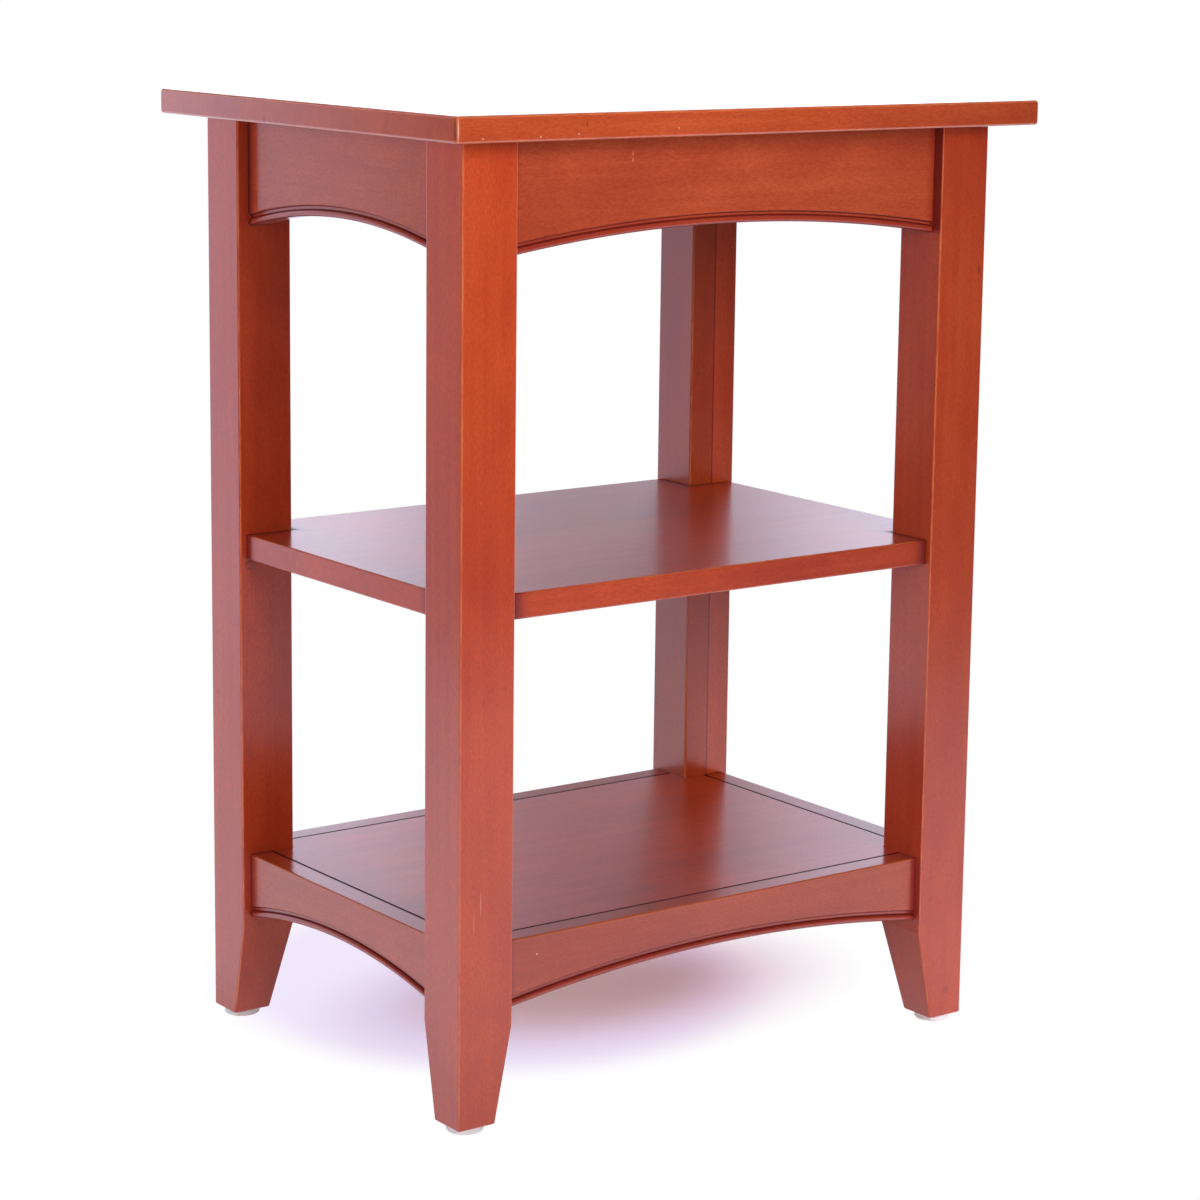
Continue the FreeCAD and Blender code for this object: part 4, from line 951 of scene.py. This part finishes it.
def draw_screw(name, length, is_flush):
    """A screw along +Z with the outer face of its head at zero."""
    bm = bmesh.new()

    def ring(radius_at, up):
        points = []
        for i in range(AROUND):
            turn = math.tau * i / AROUND
            radius = radius_at(turn)
            points.append(bm.verts.new((radius * math.cos(turn), radius * math.sin(turn), up)))
        return points

    cross = [(-HALF, -ARM), (HALF, -ARM), (HALF, -HALF), (ARM, -HALF), (ARM, HALF), (HALF, HALF),
             (HALF, ARM), (-HALF, ARM), (-HALF, HALF), (-ARM, HALF), (-ARM, -HALF), (-HALF, -HALF)]
    if is_flush:
        side = [(HEAD - 0.1 * MM, 0.0), (HEAD, 0.12 * MM), (HEAD, 0.22 * MM),
                (SHANK, HEAD - SHANK + 0.1 * MM)]
    else:
        side = [(HEAD * math.cos(turn), PAN_ROUND * (1 - math.sin(turn)))
                for turn in map(math.radians, PAN_CURVE)]
        side += [(HEAD, PAN_HEIGHT - 0.1 * MM), (HEAD - 0.15 * MM, PAN_HEIGHT), (SHANK, PAN_HEIGHT)]
    first = side[0][1]
    rings = [ring(lambda turn, r=radius: r, up) for radius, up in side]
    start = side[-1][1] + PLAIN_SHANK
    rings.append(ring(lambda turn: SHANK * 0.86, start))
    rows = int((length - start) / PITCH * ROWS_PER_TURN)
    for row in range(1, rows):
        up = start + (length - start) * row / rows
        slim = min(1.0, (length - up) / POINT)

        def thread(turn):
            phase = ((up - start) / PITCH - turn / math.tau) % 1.0
            crest = max(0.0, 1 - abs(phase - 0.5) * CREST_SHARPNESS)
            return slim * (CORE + (SHANK - CORE) * crest)

        rings.append(ring(thread, up))
    for upper, lower in zip(rings, rings[1:]):
        join_loops(bm, upper, lower)
    tip = bm.verts.new((0.0, 0.0, length))
    for i in range(AROUND):
        bm.faces.new((rings[-1][i], rings[-1][(i + 1) % AROUND], tip))
    mouth = [bm.verts.new((x, y, first)) for x, y in cross]
    floor = [bm.verts.new((x * 0.8, y * 0.8, first + STRUCK)) for x, y in cross]
    loops = [[v.co for v in rings[0]], [v.co for v in mouth]]
    flat = rings[0] + mouth
    for triangle in tessellate_polygon(loops):
        bm.faces.new([flat[i] for i in triangle])
    join_loops(bm, mouth, floor)
    for triangle in tessellate_polygon([[v.co for v in floor]]):
        bm.faces.new([floor[i] for i in triangle])
    bmesh.ops.recalc_face_normals(bm, faces=bm.faces)
    open_edges = sum(1 for edge in bm.edges if len(edge.link_faces) != 2)
    mesh = bpy.data.meshes.new(name)
    bm.to_mesh(mesh)
    bm.free()
    print(name, round(length / MM, 1), "mm,", len(mesh.polygons), "faces,", open_edges, "open edges")
    return bpy.data.objects.new(name, mesh)


# %% [markdown]
# The frame already holds a plain screw at every place. A copy of each node's mesh is welded and parted
# into its loose screws, and each one tells where its head is, where it points and how long it is.

# %% Find the screws
SCREW_NODES = ("corner_block_screws", "top_screws", "cleat_screws", "panel_screws")
WIDER_THAN_SHANK, WELD = 3 * MM, 0.01 * MM


def find_screws(name):
    """Outer middle of the head, direction and length of each loose screw of a node."""
    bm = bmesh.new()
    bm.from_mesh(frame["nodes"][name].data)
    bmesh.ops.remove_doubles(bm, verts=bm.verts, dist=WELD)
    left, found = set(bm.verts), []
    while left:
        island, to_visit = set(), [left.pop()]
        while to_visit:
            vert = to_visit.pop()
            island.add(vert)
            for edge in vert.link_edges:
                other = edge.other_vert(vert)
                if other in left:
                    left.remove(other)
                    to_visit.append(other)
        low = Vector([min(v.co[i] for v in island) for i in range(3)])
        high = Vector([max(v.co[i] for v in island) for i in range(3)])
        long_way = max(range(3), key=lambda i: (high - low)[i])
        middle = (low + high) / 2
        across = [i for i in range(3) if i != long_way]
        wide = [v.co[long_way] for v in island
                if math.hypot(*(v.co[i] - middle[i] for i in across)) > WIDER_THAN_SHANK]
        aim = Vector((0.0, 0.0, 0.0))
        aim[long_way] = 1.0 if sum(wide) / len(wide) < middle[long_way] else -1.0
        length = (high - low)[long_way]
        found.append((middle - aim * length / 2, aim, length))
    bm.free()
    return found


SCREWS = {name: find_screws(name) for name in SCREW_NODES}
for name, found in SCREWS.items():
    print(name, len(found), "of", round(found[0][2] / MM, 2), "mm")


# %% [markdown]
# Driving them is a job for Geometry Nodes. The places are a mesh of single points, each with a note of
# its direction. The tree sets the drawn screw on every point, turns it that way, and spins it by a chance
# amount with a fixed seed, because no two crosses on a real table stop at the same angle.

# %% Tree of the screws
screw_tree, come, out = new_group("driven screws", {
    "Places": ("Object", None), "Screw": ("Object", None), "Seed": ("Int", 1), "Finish": ("Material", None)},
                                  {"Screws": ("Geometry", None)}, "GeometryNodeTree")
places = node("GeometryNodeObjectInfo", {"Object": come["Places"]}).outputs["Geometry"]
screw = node("GeometryNodeObjectInfo", {"Object": come["Screw"]}).outputs["Geometry"]
aim = node("GeometryNodeInputNamedAttribute", {"Name": "aim"}, data_type="FLOAT_VECTOR")
aimed = node("FunctionNodeAlignRotationToVector", {"Vector": in_use(aim.outputs)}, axis="Z").outputs[0]
chance = node("FunctionNodeRandomValue", data_type="FLOAT")
for socket in (s for s in chance.inputs if s.enabled):
    if socket.name in ("Min", "Max"):
        socket.default_value = 0.0 if socket.name == "Min" else math.pi / 2
    elif socket.name == "Seed":
        fill(socket, come["Seed"])
spin = node("ShaderNodeCombineXYZ", {"Z": in_use(chance.outputs)}).outputs[0]
spin = node("FunctionNodeEulerToRotation", {0: spin}).outputs[0]
aimed = node("FunctionNodeRotateRotation", {"Rotation": aimed, "Rotate By": spin},
             rotation_space="LOCAL").outputs[0]
driven = node("GeometryNodeInstanceOnPoints", {"Points": places, "Instance": screw,
                                               "Rotation": aimed}).outputs[0]
driven = node("GeometryNodeRealizeInstances", {"Geometry": driven}).outputs[0]
driven = node("GeometryNodeSetMaterial", {"Geometry": driven, "Material": come["Finish"]}).outputs[0]
fill(out["Screws"], driven)
print("tree of", len(screw_tree.nodes), "nodes")

# %% Drive the screws
for seed, (name, found) in enumerate(SCREWS.items(), 1):
    places_mesh = bpy.data.meshes.new(f"{name}_places")
    places_mesh.from_pydata([tuple(head) for head, aim, length in found], [], [])
    directions = places_mesh.attributes.new("aim", "FLOAT_VECTOR", "POINT")
    for i, (head, aim, length) in enumerate(found):
        directions.data[i].vector = aim
    screw = draw_screw(f"{name}_one", found[0][2], name != "corner_block_screws")
    places = bpy.data.objects.new(f"{name}_places", places_mesh)
    driven = make_from_tree(f"{name}_driven", screw_tree, {
        "Places": places, "Screw": screw, "Seed": seed, "Finish": FINISHES["screw_steel"]})
    smooth_under(driven, 30)
    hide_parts(name)
    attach(driven, "root")
    print(driven.name, len(driven.data.polygons), "faces")


# %% [markdown]
# ## Measure
# Dressing must not change the size. The box of the frame and the box of the dressed table are
# compared, and the largest difference between their corners is printed.

# %% Measure
bpy.context.view_layer.update()
dressed_box = [list(corner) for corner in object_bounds()]
grown = max(abs(a - b) for p, q in zip(frame_box, dressed_box) for a, b in zip(p, q))
print("grown by", round(grown / MM, 3), "mm at most")
